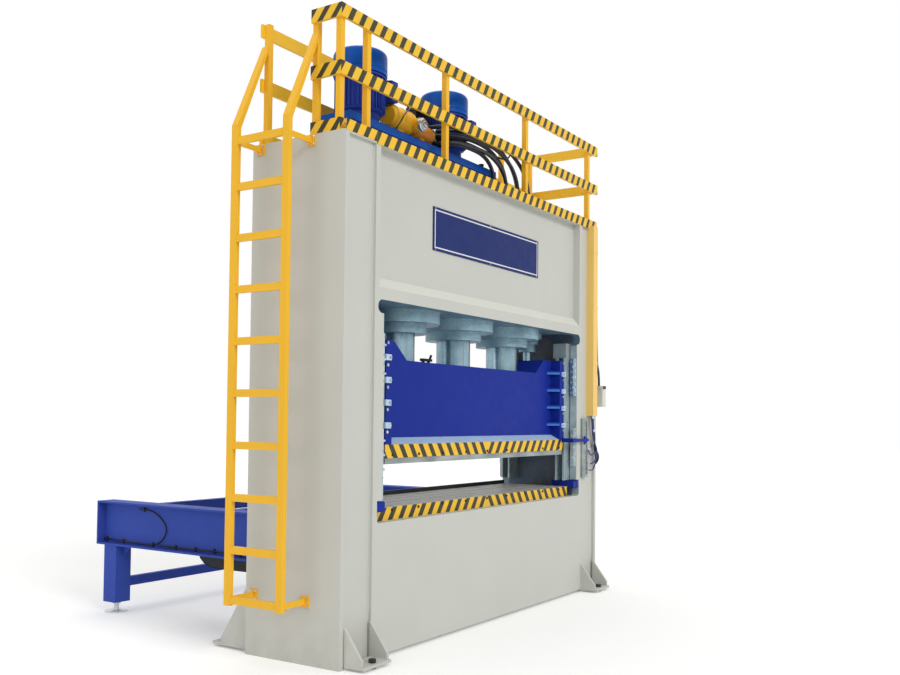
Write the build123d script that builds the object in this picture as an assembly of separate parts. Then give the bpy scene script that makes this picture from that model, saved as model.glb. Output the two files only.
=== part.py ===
"""Hydraulic press with a box-section portal frame, a guided ram under three plungers,
a bolster that rolls out onto a rear table, and a power unit behind guard rails on the crown.

Millimetres, +Z up. X runs along the front, +Y to the back. The origin is the centre of
the bed's underside, on the floor.
"""
import math
import os

from build123d import *

# Portal frame
frame_width = 4680
frame_depth = 990
frame_height = 4200
column_width = 455
outer_plate_thickness = 45
inner_plate_thickness = 60
web_thickness = 25
web_recess_depth = 30
face_plate_thickness = 80
deck_thickness = 25
crown_face_thickness = 40
lintel_height = 190
lintel_bevel_height = 90
jamb_width = 65
opening_top_height = 2910
opening_bottom_height = 1090
passage_height = 180
relief_length = 80
relief_height = 112
corner_radius = 30
face_lift_height = 25
crown_floor_thickness = 80
bed_top_thickness = 60
bed_bottom_thickness = 40
rib_thickness = 30
rib_count = 4

# Feet
foot_width = 300
foot_plate_thickness = 25
foot_lift_height = 20
foot_gusset_thickness = 25
front_foot_length = 200
front_gusset_length = 175
front_gusset_height = 275
rear_foot_length = 430
rear_gusset_length = 330
rear_gusset_height = 560
foot_gusset_toe_height = 45
anchor_hole_diameter = 34
anchor_inset_length = 55
anchor_head_width = 52
anchor_head_height = 30

# Guides
guide_bar_width = 70
guide_centre_offset = 350
guide_clearance = 0.3
guide_top_gap = 60
guide_bottom_gap = 20
gib_base_thickness = 40
gib_leg_thickness = 20
gib_tip_gap = 20
gib_bottom_gap = 175
gib_height = 1375
gib_bolt_count = 7
gib_bolt_pitch_length = 210
gib_bolt_rise = 30
gib_bolt_inset_width = 110
gib_bolt_head_width = 24
gib_bolt_head_height = 12
stop_block_height = 165
stop_block_width = 160
stop_block_depth = 160
bar_thickness = 22
bar_width = 25
bar_height = 425
bar_edge_gap = 28
bar_level_heights = (1425, 2212)
bar_bolt_count = 4
bar_bolt_pitch_length = 118
bar_bolt_head_width = 22
strip_thickness = 28
strip_width = 25
strip_edge_gap = 10
strip_bolt_count = 3
strip_bolt_radius = 9
strip_bolt_length = 30
screw_count = 5
screw_pitch_length = 187
screw_rise = 78
screw_inset_width = 18
screw_head_width = 26
screw_head_height = 11

# Ram
ram_side_gap = 155
ram_depth = 810
ram_thickness = 590
ram_bottom_height = 1720
ram_body_height = 730
ear_height = 150
ear_width = 275
ear_slope_width = 180
ram_wall_thickness = 60
end_plate_thickness = 90
gusset_thickness = 38
gusset_length = 95
gusset_count = 4
gusset_first_height = 160
gusset_pitch_height = 190
ledge_height = 55
base_plate_height = 115
platen_height = 50
platen_inset_width = 12

# Cylinders
return_inset_width = 115
return_rod_radius = 45
return_radius = 95
return_flange_radius = 165
return_collar_radius = 125
return_flange_height = 60
return_nose_height = 85
return_headroom_height = 665
return_rod_gap_height = 150
flange_side_gap = 15
flange_spacing_width = 170
cylinder_share = 0.75
gland_share = 0.7
plunger_share = 0.425
cylinder_flange_height = 112
gland_height = 85
crown_headroom_height = 365
plunger_top_gap = 280
piston_clearance = 0.05
hole_clearance = 1

# Bolster and its passage
bolster_side_gap = 55
bolster_depth = 810
bolster_height = 105
slot_neck_width = 28
slot_base_width = 50
slot_neck_depth = 22
slot_base_depth = 20
slot_count = 4
slot_pitch_width = 180
rear_bar_height = 40
rear_bar_thickness = 15
rear_bar_drop_height = 45
end_block_clearance = 5
end_block_length = 275
end_block_lift_height = 85
end_block_height = 85
end_block_nose_length = 10

# Rear table
beam_inset_width = 95
beam_flange_width = 200
beam_height = 430
beam_flange_thickness = 18
beam_web_thickness = 14
beam_length = 2510
leg_width = 180
leg_wall_thickness = 10
leg_inset_length = 110
levelling_height = 100
levelling_pad_radius = 112
levelling_stud_radius = 24
brace_height = 90
brace_depth = 60
brace_bottom_height = 235
tie_height = 120
tie_depth = 90
first_tie_length = 900
second_tie_length = 1950
chain_radius = 150
chain_thickness = 26
chain_width = 90
chain_end_length = 1105
chain_run_length = 420
chain_side_gap = 150

# Crown guard rails
post_width = 50
rail_height = 110
rail_thickness = 25
toe_height = 100
toe_thickness = 20
top_rail_height = 960
mid_rail_height = 500
post_height = 1015
rail_edge_gap = 60
rail_overhang_length = 150
side_rail_gap = 110
corner_post_gap = 50
second_post_gap = 390
end_post_gap = 40
left_post_offset = -770
right_post_offset = 765
rear_left_post_offset = -1000
rear_middle_post_offset = 300
rear_right_post_gap = 740
ladder_front_offset = -145
ladder_rear_offset = 405

# Ladder
ladder_standoff_width = 265
stile_width = 65
stile_thickness = 40
ladder_bottom_height = 450
stile_kink_rise = 62
stile_top_drop = 250
rung_height = 60
rung_thickness = 30
end_rung_gap = 45
first_rung_height = 888
rung_pitch_height = 413
bracket_height = 45
bracket_thickness = 12
bracket_end_gap = 50

# Power unit
tank_left_offset = -1900
tank_right_offset = 470
tank_depth = 350
tank_height = 240
tank_wall_thickness = 12
tank_lid_thickness = 70
tank_lid_lip = 20
left_motor_gap = 350
right_motor_gap = 680
motor_radius = 205
motor_height = 400
motor_foot_radius = 175
motor_foot_height = 90
motor_neck_height = 15
motor_fin_count = 16
motor_fin_height = 14
motor_fin_width = 9
cowl_radius = 238
cowl_height = 215
cowl_wall_thickness = 5
cowl_drop_height = 75
cowl_crown_width = 60
cowl_ear_width = 18
fan_radius = 190
fan_height = 95
fan_gap = 15
fan_shaft_radius = 24
fan_hub_radius = 48
fan_blade_thickness = 5
fan_blades = 6
terminal_width = 130
terminal_depth = 90
grille_count = 6
grille_slot_width = 18
grille_slot_length = 110
grille_centre_radius = 100
manifold_offset = -620
manifold_width = 300
manifold_depth = 120
manifold_front_offset = -20
manifold_height = 210
valve_count = 3
valve_foot_height = 30
valve_height = 150
valve_gap = 6
valve_fins = 4
filter_offset = -120
filter_lift_height = 25
filter_cap_length = 30
filter_foot_width = 80
pressure_filter_offset = -1150
pressure_filter_radius = 105
pressure_filter_length = 300
return_filter_offset = -815
return_filter_radius = 75
return_filter_length = 260
hose_radius = 20
cord_sides = 8
fitting_length = 50
fitting_width = 46
fitting_radius = 19

# Fittings on the right column
duct_width = 110
duct_depth = 60
duct_edge_gap = 95
duct_bottom_height = 1990
scale_overlap_width = 20
scale_width = 165
scale_thickness = 22
scale_margin_width = 33
scale_bottom_height = 1290
scale_top_height = 1960
arm_thickness = 12
arm_height = 45
arm_tip_height = 22
arm_gap = 22
arm_reach_width = 120
arm_head_length = 130
arm_head_height = 100
arm_drop_height = 5
arm_block_width = 45
switch_width = 85
switch_depth = 105
switch_height = 210
switch_forward_length = 79
switch_bottom_height = 2100
switch_cap_height = 35
switch_lip_width = 7
switch_bracket_width = 22
cable_radius = 9
cable_pitch_width = 22
cable_count = 2
cable_rise_height = 300
reel_radius = 110
reel_width = 90
reel_centre_height = 1510
reel_front_gap = 105
reel_flange_thickness = 8
reel_core_radius = 70

# Nameplate
nameplate_width = 2010
nameplate_height = 395
nameplate_thickness = 8
nameplate_rise = 12.5

half_width = frame_width / 2
half_depth = frame_depth / 2
column_top = frame_height - deck_thickness
passage_half = half_width - column_width
opening_half = passage_half - jamb_width
leg_outer = passage_half + inner_plate_thickness
core_half_depth = half_depth - face_plate_thickness
opening_top = opening_top_height
opening_bottom = opening_bottom_height
lintel_top = opening_top + lintel_height
ram_half = opening_half - ram_side_gap
ram_end_inner = ram_half - end_plate_thickness
ram_bottom = ram_bottom_height
ram_top = ram_bottom + ram_body_height
ear_top = ram_top + ear_height
base_bottom = ram_bottom - base_plate_height
platen_bottom = base_bottom - platen_height
bolster_half = opening_half - bolster_side_gap
bolster_top = opening_bottom + bolster_height
gib_bottom = opening_bottom + gib_bottom_gap
gib_top = gib_bottom + gib_height
gib_face = passage_half - gib_base_thickness
gib_tip = ram_half + gib_tip_gap
guide_half = guide_bar_width / 2
gib_leg_face = guide_centre_offset + guide_half + guide_clearance + gib_leg_thickness
return_offset = ram_half - return_inset_width
flange_room = return_offset - return_flange_radius - flange_side_gap
cylinder_pitch = (flange_room + flange_spacing_width / 2) / 1.5
cylinder_flange_radius = (cylinder_pitch - flange_spacing_width) / 2
cylinder_radius = cylinder_share * cylinder_flange_radius
gland_radius = gland_share * cylinder_flange_radius
plunger_radius = plunger_share * cylinder_flange_radius
cylinder_top = column_top - crown_headroom_height
return_top = column_top - return_headroom_height
flange_bottom = opening_top - cylinder_flange_height
gland_bottom = flange_bottom - gland_height
beam_centre = passage_half - beam_inset_width
beam_bottom = opening_bottom - beam_height
beam_end = half_depth + beam_length
lid_top = frame_height + tank_height + tank_lid_thickness
tank_left = tank_left_offset
tank_right = tank_right_offset
motor_places = (tank_left + left_motor_gap, tank_right - right_motor_gap)
motor_bottom = lid_top + motor_foot_height
motor_top = motor_bottom + motor_height
rail_front_y = -half_depth + rail_edge_gap
front_posts = (
    -half_width + corner_post_gap,
    -half_width + second_post_gap,
    left_post_offset,
    right_post_offset,
    half_width - end_post_gap,
)
rear_posts = (
    rear_left_post_offset,
    rear_middle_post_offset,
    half_width - rear_right_post_gap,
    half_width - end_post_gap,
)
scale_left = leg_outer - scale_overlap_width
arm_end = scale_left + arm_reach_width
duct_right = half_width - duct_edge_gap
sides = (-1, 1)


def block(x, y, z):
    """A box between two values on each axis."""
    low = [min(pair) for pair in (x, y, z)]
    size = [abs(pair[1] - pair[0]) for pair in (x, y, z)]
    centre = [a + s / 2 for a, s in zip(low, size)]
    return Pos(*centre) * Box(*size)


def mirror_x(side, near, far):
    """The X span between two distances from the middle plane, on one side of it."""
    return (side * near, side * far)


def disc(radius, x, y, bottom, top):
    """An upright cylinder."""
    return Pos(x, y, bottom) * extrude(Circle(radius), top - bottom)


def pin(radius, start, direction, length):
    """A cylinder from a point along a direction."""
    return extrude(Plane(origin=start, z_dir=direction) * Circle(radius), length)


def hex_head(across, start, direction, height):
    """A hexagonal head standing on a face."""
    outline = RegularPolygon(across / math.sqrt(3), 6)
    return extrude(Plane(origin=start, z_dir=direction) * outline, height)


def turned(profile, x, y):
    """A body of revolution about an upright axis, from radius and height pairs."""
    outline = Plane.XZ * make_face(Polyline(*profile, close=True))
    return Pos(x, y, 0) * revolve(outline, Axis.Z)


def front_outline(points, y_from, y_to):
    """A plate drawn in the front view and given its depth along Y."""
    outline = Plane.XZ * make_face(Polyline(*points, close=True))
    return Pos(0, y_to, 0) * extrude(outline, y_to - y_from)


def cord_path(points):
    """Straight runs joined by arcs as large as each pair of runs allows."""
    vectors = [Vector(*point) for point in points]
    radii = []
    for before, here, after in zip(vectors, vectors[1:], vectors[2:]):
        turn = math.radians((here - before).get_angle(after - here))
        shorter = min((here - before).length, (after - here).length)
        radii.append(0.45 * shorter / math.tan(turn / 2))
    return FilletPolyline(*points, radius=radii), radii


def cord(points, radius):
    """A plain eight-sided solid of a cord or hose along its path."""
    path, radii = cord_path(points)
    start = Plane(origin=path @ 0, z_dir=path % 0)
    section = RegularPolygon(radius, cord_sides)
    body = sweep(start * section, path=path)
    expected = section.area * path.length
    print(f"cord: length {path.length:.0f}, volume ratio {body.volume / expected:.4f},",
          "radii", [round(value) for value in radii])
    return body


# Frame


def column(side):
    """The outer plate and the two recessed webs of one column."""
    outer_face = half_width - outer_plate_thickness
    outer = block(mirror_x(side, outer_face, half_width), (-half_depth, half_depth), (0, column_top))
    webs = []
    for face in sides:
        near = face * (half_depth - web_recess_depth)
        far = near - face * web_thickness
        webs.append(block(mirror_x(side, leg_outer, outer_face), (near, far), (0, column_top)))
    return outer + webs


def inner_wall(side):
    """The plate that closes a column towards the opening and carries the guides."""
    return block(mirror_x(side, passage_half, leg_outer),
                 (-core_half_depth, core_half_depth), (0, column_top))


def face_frame(face):
    """One flame-cut face plate with the opening, its relieved corners and the bolster passage."""
    near = face * half_depth
    far = face * core_half_depth
    depth = (min(near, far), max(near, far))
    plate = block((-leg_outer, leg_outer), depth, (face_lift_height, column_top))
    plate -= block((-passage_half, passage_half), depth, (lintel_top, column_top))
    plate -= block((-opening_half, opening_half), depth, (opening_bottom, opening_top))
    passage = block((-passage_half, passage_half), depth,
                    (opening_bottom, opening_bottom + passage_height))
    plate -= fillet(passage.edges().filter_by(Axis.Y).group_by(Axis.Z)[0], corner_radius)
    reliefs = Sketch()
    for side in sides:
        centre = (side * (opening_half + relief_length / 2 - relief_height / 4),
                  opening_top - relief_height / 2)
        reliefs += Pos(*centre) * SlotOverall(relief_length + relief_height / 2, relief_height)
    plate -= Pos(0, depth[1], 0) * extrude(Plane.XZ * reliefs, face_plate_thickness)
    bevel = Polyline((near, lintel_top - lintel_bevel_height), (near, lintel_top), (far, lintel_top),
                     close=True)
    return plate - extrude(Plane.YZ * make_face(bevel), passage_half, both=True)


def crown_face(face):
    """The upper face of the crown, set back behind the lintel."""
    near = face * core_half_depth
    return block((-passage_half, passage_half), (near, near - face * crown_face_thickness),
                 (opening_top + crown_floor_thickness, column_top))


def cylinder_places():
    return [index * cylinder_pitch for index in (-1, 0, 1)]


def return_places():
    return [side * return_offset for side in sides]


def crown_floor_plate():
    """The thick plate that the cylinders hang from."""
    level = (opening_top, opening_top + crown_floor_thickness)
    plate = block((-passage_half, passage_half), (-core_half_depth, core_half_depth), level)
    for x in cylinder_places():
        plate -= disc(cylinder_radius + hole_clearance, x, 0, *level)
    for x in return_places():
        plate -= disc(return_radius + hole_clearance, x, 0, *level)
    return plate


def crown_ribs():
    """Cross plates between the cylinders."""
    inside = core_half_depth - crown_face_thickness
    outer = (cylinder_pitch + cylinder_radius + return_offset - return_radius) / 2
    spots = [side * x for side in sides for x in (cylinder_pitch / 2, outer)]
    return [
        block((x - rib_thickness / 2, x + rib_thickness / 2), (-inside, inside),
              (opening_top + crown_floor_thickness, column_top))
        for x in spots
    ]


def deck():
    """The walkway plate over the crown and both columns."""
    return block((-half_width, half_width), (-half_depth, half_depth), (column_top, frame_height))


def bed_plates():
    """The bed's top and bottom plates between the inner walls."""
    levels = ((opening_bottom - bed_top_thickness, opening_bottom), (0, bed_bottom_thickness))
    return [
        block((-passage_half, passage_half), (-core_half_depth, core_half_depth), level)
        for level in levels
    ]


def bed_ribs():
    pitch = 2 * passage_half / (rib_count + 1)
    spots = [-passage_half + pitch * (index + 1) for index in range(rib_count)]
    return [
        block((x - rib_thickness / 2, x + rib_thickness / 2), (-core_half_depth, core_half_depth),
              (bed_bottom_thickness, opening_bottom - bed_top_thickness))
        for x in spots
    ]


# Feet


def foot_spots():
    """Each foot: the side it stands on, the face it reaches out from, and its lengths."""
    front = (front_foot_length, front_gusset_length, front_gusset_height)
    rear = (rear_foot_length, rear_gusset_length, rear_gusset_height)
    return [(side, face) + (front if face < 0 else rear) for side in sides for face in sides]


def anchor_position(side, face, length):
    x = side * (half_width - column_width / 2)
    y = face * (half_depth + length - anchor_inset_length)
    return x, y


def foot(side, face, length, gusset_reach, gusset_top):
    """A foot plate with its hole, braced by a pair of tapered side plates."""
    x = side * (half_width - column_width / 2)
    root = face * half_depth
    outer = foot_width / 2 + foot_gusset_thickness
    base = foot_lift_height + foot_plate_thickness
    plate = block((x - outer, x + outer), (root, face * (half_depth + length)), (foot_lift_height, base))
    plate -= disc(anchor_hole_diameter / 2, *anchor_position(side, face, length), foot_lift_height, base)
    toe = face * (half_depth + gusset_reach)
    outline = Polyline((root, base), (toe, base), (toe, base + foot_gusset_toe_height),
                       (root, base + gusset_top), close=True)
    gusset = extrude(Plane.YZ * make_face(outline), foot_gusset_thickness)
    return plate + [Pos(start, 0, 0) * gusset for start in (x - outer, x + foot_width / 2)]


def feet():
    return Compound([foot(*spot) for spot in foot_spots()])


def levelling_screws():
    """Screws that stand on the floor and carry each foot plate on a collar nut."""
    bolts = []
    top = foot_lift_height + foot_plate_thickness
    for side, face, length, _, _ in foot_spots():
        x, y = anchor_position(side, face, length)
        bolt = disc(anchor_hole_diameter / 2 - hole_clearance, x, y, 0, top)
        bolt += hex_head(anchor_head_width, (x, y, top), (0, 0, 1), anchor_head_height)
        bolt += hex_head(anchor_head_width, (x, y, 0), (0, 0, 1), foot_lift_height)
        bolts.append(bolt)
    return Compound(bolts)


# Guides


def corners():
    return [(side, face) for side in sides for face in sides]


def gib_rails():
    """A channel on each inner wall that embraces a guide bar, under a thick stop block."""
    rails = []
    slot_half = guide_half + guide_clearance
    rail_half = slot_half + gib_leg_thickness
    for side, face in corners():
        centre = face * guide_centre_offset
        rail = block(mirror_x(side, gib_tip, passage_half), (centre - rail_half, centre + rail_half),
                     (gib_bottom, gib_top))
        rail -= block(mirror_x(side, gib_tip, gib_face), (centre - slot_half, centre + slot_half),
                      (gib_bottom, gib_top))
        front = face * gib_leg_face
        stop = block(mirror_x(side, passage_half - stop_block_width, passage_half),
                     (front, front - face * stop_block_depth), (gib_top, gib_top + stop_block_height))
        rails += [rail, stop]
    return rails


def row_levels(low, high, count, pitch):
    """Evenly pitched levels, centred between two heights."""
    first = (low + high) / 2 - (count - 1) * pitch / 2
    return [first + index * pitch for index in range(count)]


def bar_level_spans():
    return [(low, low + bar_height) for low in bar_level_heights]


def adjusting_bars():
    """Short bars on the jambs beside each guide, at two levels."""
    bars = []
    outer = core_half_depth + bar_edge_gap - bar_width / 2
    for side, face in corners():
        for span in bar_level_spans():
            bars.append(block(mirror_x(side, opening_half - bar_thickness, opening_half),
                              (face * outer, face * (outer + bar_width)), span))
    return bars


def adjusting_strips():
    """Strips at the jambs' outer edges, each with its row of long adjusting screws."""
    strips = []
    outer = half_depth - strip_edge_gap
    for side, face in corners():
        for low, high in bar_level_spans():
            strip = block(mirror_x(side, opening_half - strip_thickness, opening_half),
                          (face * (outer - strip_width), face * outer), (low, high))
            levels = row_levels(low, high, strip_bolt_count, bar_bolt_pitch_length)
            y = face * (outer - strip_width / 2)
            for z in levels:
                spot = (side * (opening_half - strip_thickness), y, z)
                strip += hex_head(2 * strip_bolt_radius, spot, (-side, 0, 0), strip_bolt_length)
            strips.append(strip)
    return strips


def gib_bolts():
    """Heads on the guides' front legs and on the adjusting bars."""
    heads = []
    bar_y = core_half_depth + bar_edge_gap
    for side, face in corners():
        for index in range(gib_bolt_count):
            z = gib_bottom + gib_bolt_rise + index * gib_bolt_pitch_length
            spot = (side * (passage_half - gib_bolt_inset_width), face * gib_leg_face, z)
            heads.append(hex_head(gib_bolt_head_width, spot, (0, face, 0), gib_bolt_head_height))
        for low, high in bar_level_spans():
            for z in row_levels(low, high, bar_bolt_count, bar_bolt_pitch_length):
                spot = (side * (opening_half - bar_thickness), face * bar_y, z)
                heads.append(hex_head(bar_bolt_head_width, spot, (-side, 0, 0), gib_bolt_head_height))
    return Compound(heads)


def guide_shoes():
    """Square shoes along the ram's ends that run in the channels."""
    shoes = []
    for side, face in corners():
        centre = face * guide_centre_offset
        shoes.append(block(mirror_x(side, ram_half, gib_face - guide_clearance),
                          (centre - guide_half, centre + guide_half),
                          (ram_bottom + guide_bottom_gap, ear_top - guide_top_gap)))
    return Compound(shoes)


def shoe_screws():
    """Screw heads down the edges of the ram's end plates that hold the shoes."""
    heads = []
    for side, face in corners():
        for z in row_levels(ram_bottom + screw_rise, ear_top, screw_count, screw_pitch_length):
            spot = (side * (ram_half - screw_inset_width), face * ram_depth / 2, z)
            heads.append(hex_head(screw_head_width, spot, (0, face, 0), screw_head_height))
    return Compound(heads)


# Ram


def ram_body():
    """The deep box between the end plates, with raised ears and an open underside."""
    ear_inner = ram_half - ear_width
    outline = [(-ram_end_inner, ram_bottom), (-ram_end_inner, ear_top), (-ear_inner, ear_top),
               (-ear_inner + ear_slope_width, ram_top), (ear_inner - ear_slope_width, ram_top),
               (ear_inner, ear_top), (ram_end_inner, ear_top), (ram_end_inner, ram_bottom)]
    body = front_outline(outline, -ram_thickness / 2, ram_thickness / 2)
    inside = block((-ram_end_inner + ram_wall_thickness, ram_end_inner - ram_wall_thickness),
                   (-ram_thickness / 2 + ram_wall_thickness, ram_thickness / 2 - ram_wall_thickness),
                   (ram_bottom, ram_top - ram_wall_thickness))
    return body - inside


def ram_end_plates():
    return Compound([
        block(mirror_x(side, ram_end_inner, ram_half), (-ram_depth / 2, ram_depth / 2),
              (ram_bottom, ear_top))
        for side in sides
    ])


def ram_gussets():
    """Triangular stiffeners between the ram's faces and its end plates."""
    gussets = []
    for side, face in corners():
        root = face * ram_thickness / 2
        corner = side * ram_end_inner
        outline = Polyline((corner, root), (corner - side * gusset_length, root),
                           (corner, face * ram_depth / 2), close=True)
        plate = extrude(make_face(outline), gusset_thickness)
        for index in range(gusset_count):
            level = ram_bottom + gusset_first_height + index * gusset_pitch_height
            gussets.append(Pos(0, 0, level) * plate)
    return Compound(gussets)


def ram_ledges():
    """Sloping strips along the foot of the ram's faces."""
    strips = []
    for face in sides:
        root = face * ram_thickness / 2
        outline = Polyline((root, ram_bottom), (face * ram_depth / 2, ram_bottom),
                           (root, ram_bottom + ledge_height), close=True)
        strips.append(extrude(Plane.YZ * make_face(outline), ram_end_inner, both=True))
    return Compound(strips)


def ram_base_plate():
    return block((-ram_half, ram_half), (-ram_depth / 2, ram_depth / 2), (base_bottom, ram_bottom))


def upper_platen():
    """The steel platen under the ram."""
    half = ram_half - platen_inset_width
    half_y = ram_depth / 2 - platen_inset_width
    return block((-half, half), (-half_y, half_y), (platen_bottom, base_bottom))


# Cylinders


def main_cylinder(x):
    """A flanged cylinder, with its gland under the crown and its closed end inside it."""
    bore = plunger_radius + piston_clearance
    profile = [(bore, gland_bottom), (gland_radius, gland_bottom), (gland_radius, flange_bottom),
               (cylinder_flange_radius, flange_bottom), (cylinder_flange_radius, opening_top),
               (cylinder_radius, opening_top), (cylinder_radius, cylinder_top), (0, cylinder_top),
               (0, cylinder_top - ram_wall_thickness), (bore, cylinder_top - ram_wall_thickness)]
    return turned(profile, x, 0)


def main_plunger(x):
    return disc(plunger_radius, x, 0, ram_top, cylinder_top - plunger_top_gap)


def return_cylinder(x):
    """A slim pull-back cylinder with a stepped mounting collar."""
    step = opening_top - return_flange_height
    collar = step - return_flange_height
    nose = collar - return_nose_height
    bore = return_rod_radius + piston_clearance
    profile = [(bore, nose), (return_radius, nose), (return_radius, collar),
               (return_collar_radius, collar), (return_collar_radius, step),
               (return_flange_radius, step), (return_flange_radius, opening_top),
               (return_radius, opening_top), (return_radius, return_top), (0, return_top),
               (0, return_top - tank_wall_thickness), (bore, return_top - tank_wall_thickness)]
    return turned(profile, x, 0)


def return_rod(x):
    return disc(return_rod_radius, x, 0, ear_top, return_top - return_rod_gap_height)


# Bolster


def tee_slots():
    """Cutting bodies of the parallel tee slots that run along the bolster's top."""
    cuts = []
    length = (-bolster_half, bolster_half)
    neck_end = bolster_top - slot_neck_depth
    base_end = neck_end - slot_base_depth
    for y in row_levels(0, 0, slot_count, slot_pitch_width):
        neck = (y - slot_neck_width / 2, y + slot_neck_width / 2)
        base = (y - slot_base_width / 2, y + slot_base_width / 2)
        cuts.append(block(length, neck, (neck_end, bolster_top)))
        cuts.append(block(length, base, (base_end, neck_end)))
    return cuts


def bolster_plate():
    """The rolling table plate with tee slots along the press."""
    plate = block((-bolster_half, bolster_half), (-bolster_depth / 2, bolster_depth / 2),
                  (opening_bottom, bolster_top))
    return plate - tee_slots()


def bolster_rear_bar():
    """The stop strip along the rear edge, clear of the platen above."""
    return block((-bolster_half, bolster_half),
                 (bolster_depth / 2, bolster_depth / 2 + rear_bar_thickness),
                 (bolster_top - rear_bar_drop_height, bolster_top + rear_bar_height))


def bolster_end_blocks():
    """The bevelled carriers bolted to both ends of the bolster."""
    blocks = []
    front = -half_depth + end_block_nose_length
    low = opening_bottom + end_block_lift_height
    for side in sides:
        carrier = block(mirror_x(side, bolster_half, passage_half - end_block_clearance),
                        (front, front + end_block_length), (low, low + end_block_height))
        edges = carrier.edges().filter_by(Axis.X).group_by(Axis.Y)[0]
        blocks.append(chamfer(edges, end_block_nose_length))
    return Compound(blocks)


# Rear table


def table_beam(side):
    """One welded I-beam from the frame's back face to the table's end."""
    x = side * beam_centre
    span = (half_depth, beam_end)
    flange = (x - beam_flange_width / 2, x + beam_flange_width / 2)
    web = (x - beam_web_thickness / 2, x + beam_web_thickness / 2)
    beam = block(web, span, (beam_bottom, opening_bottom))
    beam += block(flange, span, (opening_bottom - beam_flange_thickness, opening_bottom))
    beam += block(flange, span, (beam_bottom, beam_bottom + beam_flange_thickness))
    return beam + block(flange, (beam_end, beam_end - beam_flange_thickness),
                        (beam_bottom, opening_bottom))


def leg_centre():
    return beam_end - leg_inset_length - leg_width / 2


def table_leg(side):
    """A square tube leg under the far end of a beam, closed by a foot plate."""
    x = side * beam_centre
    y = leg_centre()
    half = leg_width / 2
    outer = block((x - half, x + half), (y - half, y + half), (levelling_height, beam_bottom))
    half -= leg_wall_thickness
    return outer - block((x - half, x + half), (y - half, y + half),
                         (levelling_height + leg_wall_thickness, beam_bottom))


def levelling_feet():
    """Round pads on studs with lock nuts under the legs."""
    feet_made = []
    pad = levelling_stud_radius
    for side in sides:
        x = side * beam_centre
        profile = [(0, 0), (levelling_pad_radius, 0), (levelling_pad_radius, pad / 2),
                   (levelling_stud_radius, pad), (levelling_stud_radius, levelling_height),
                   (0, levelling_height)]
        stand = turned(profile, x, leg_centre())
        nut = (x, leg_centre(), levelling_height - pad)
        feet_made.append(stand + hex_head(3 * levelling_stud_radius, nut, (0, 0, 1), pad))
    return Compound(feet_made)


def table_ties():
    """Cross members between the beams, and the low brace between the legs."""
    inner = beam_centre - beam_web_thickness / 2
    top = opening_bottom - beam_flange_thickness
    ties = []
    for length in (first_tie_length, second_tie_length):
        y = half_depth + length
        ties.append(block((-inner, inner), (y - tie_depth / 2, y + tie_depth / 2),
                          (top - tie_height, top)))
    leg_inner = beam_centre - leg_width / 2
    ties.append(block((-leg_inner, leg_inner),
                      (leg_centre() - brace_depth / 2, leg_centre() + brace_depth / 2),
                      (brace_bottom_height, brace_bottom_height + brace_height)))
    return Compound(ties)


def drag_chain():
    """The folded energy chain that hangs beside the left beam, under its first cross member."""
    x = -beam_centre + chain_side_gap
    top = opening_bottom - beam_flange_thickness - tie_height
    bottom = top - 2 * chain_radius - chain_thickness
    y = half_depth + chain_end_length

    def fold(inset):
        radius = chain_radius + chain_thickness / 2 - inset
        run = block((x, x + chain_width), (y - chain_run_length, y), (bottom + inset, top - inset))
        return run + pin(radius, (x, y, (top + bottom) / 2), (1, 0, 0), chain_width)

    return fold(0) - fold(chain_thickness)


# Guard rails


def post(x, y):
    half = post_width / 2
    return block((x - half, x + half), (y - half, y + half), (frame_height, frame_height + post_height))


def guard_lines():
    """Where the inner faces of the front, rear, left and right rails lie."""
    front = rail_front_y + rail_thickness
    return front, -front, -half_width + rail_thickness, front_posts[-1] + side_rail_gap


def guard_posts():
    """Posts inside the rails, including the two at the head of the ladder."""
    front, rear, left, _ = guard_lines()
    half = post_width / 2
    posts = [post(x, front + half) for x in front_posts]
    posts += [post(x, rear - half) for x in rear_posts]
    posts += [post(left + half, y) for y in (ladder_front_offset, rear - half)]
    return Compound(posts)


def guard_ring(low, high, thickness):
    """A run of flats at one level: the front, the left stretch up to the ladder, rear and right."""
    front, rear, left, right = guard_lines()
    z = (frame_height + low, frame_height + high)
    length = (-half_width, half_width + rail_overhang_length)
    ring = block(length, (front - thickness, front), z)
    ring += block((left - thickness, left), (front, ladder_front_offset + post_width / 2), z)
    ring += block(length, (rear, rear + thickness), z)
    return ring + block((right, right + thickness), (front, rear), z)


def guard_rails():
    return Compound([
        guard_ring(centre - rail_height / 2, centre + rail_height / 2, rail_thickness)
        for centre in (top_rail_height, mid_rail_height)
    ])


def toe_boards():
    return guard_ring(0, toe_height, toe_thickness)


# Ladder


def ladder_flats():
    """Where the two stiles stand along the column's side."""
    return (ladder_front_offset, ladder_rear_offset)


def ladder_brackets(y):
    """Stand-off flats with pads that bolt one stile to the column."""
    flats = []
    for z in (ladder_bottom_height + bracket_height, frame_height - bracket_end_gap):
        flats.append(block((-half_width - ladder_standoff_width, -half_width),
                           (y - bracket_thickness / 2, y + bracket_thickness / 2),
                           (z - bracket_height / 2, z + bracket_height / 2)))
        flats.append(block((-half_width - bracket_thickness, -half_width),
                           (y - bracket_height, y + bracket_height),
                           (z - bracket_height, z + bracket_height)))
    return flats


def ladder_stiles():
    """Uprights on brackets, leaning in above the deck to meet the guard posts."""
    x = -half_width - ladder_standoff_width
    kink = frame_height + stile_kink_rise
    top = frame_height + post_height - stile_top_drop
    post_x = -half_width + rail_thickness
    outline = [(x - stile_thickness, ladder_bottom_height), (x, ladder_bottom_height), (x, kink),
               (post_x, top), (post_x, top + stile_width), (x - stile_thickness, kink + stile_thickness / 2)]
    stiles = []
    for y in ladder_flats():
        flat = front_outline(outline, y - stile_width / 2, y + stile_width / 2)
        stiles.append(flat + ladder_brackets(y))
    return Compound(stiles)


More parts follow.
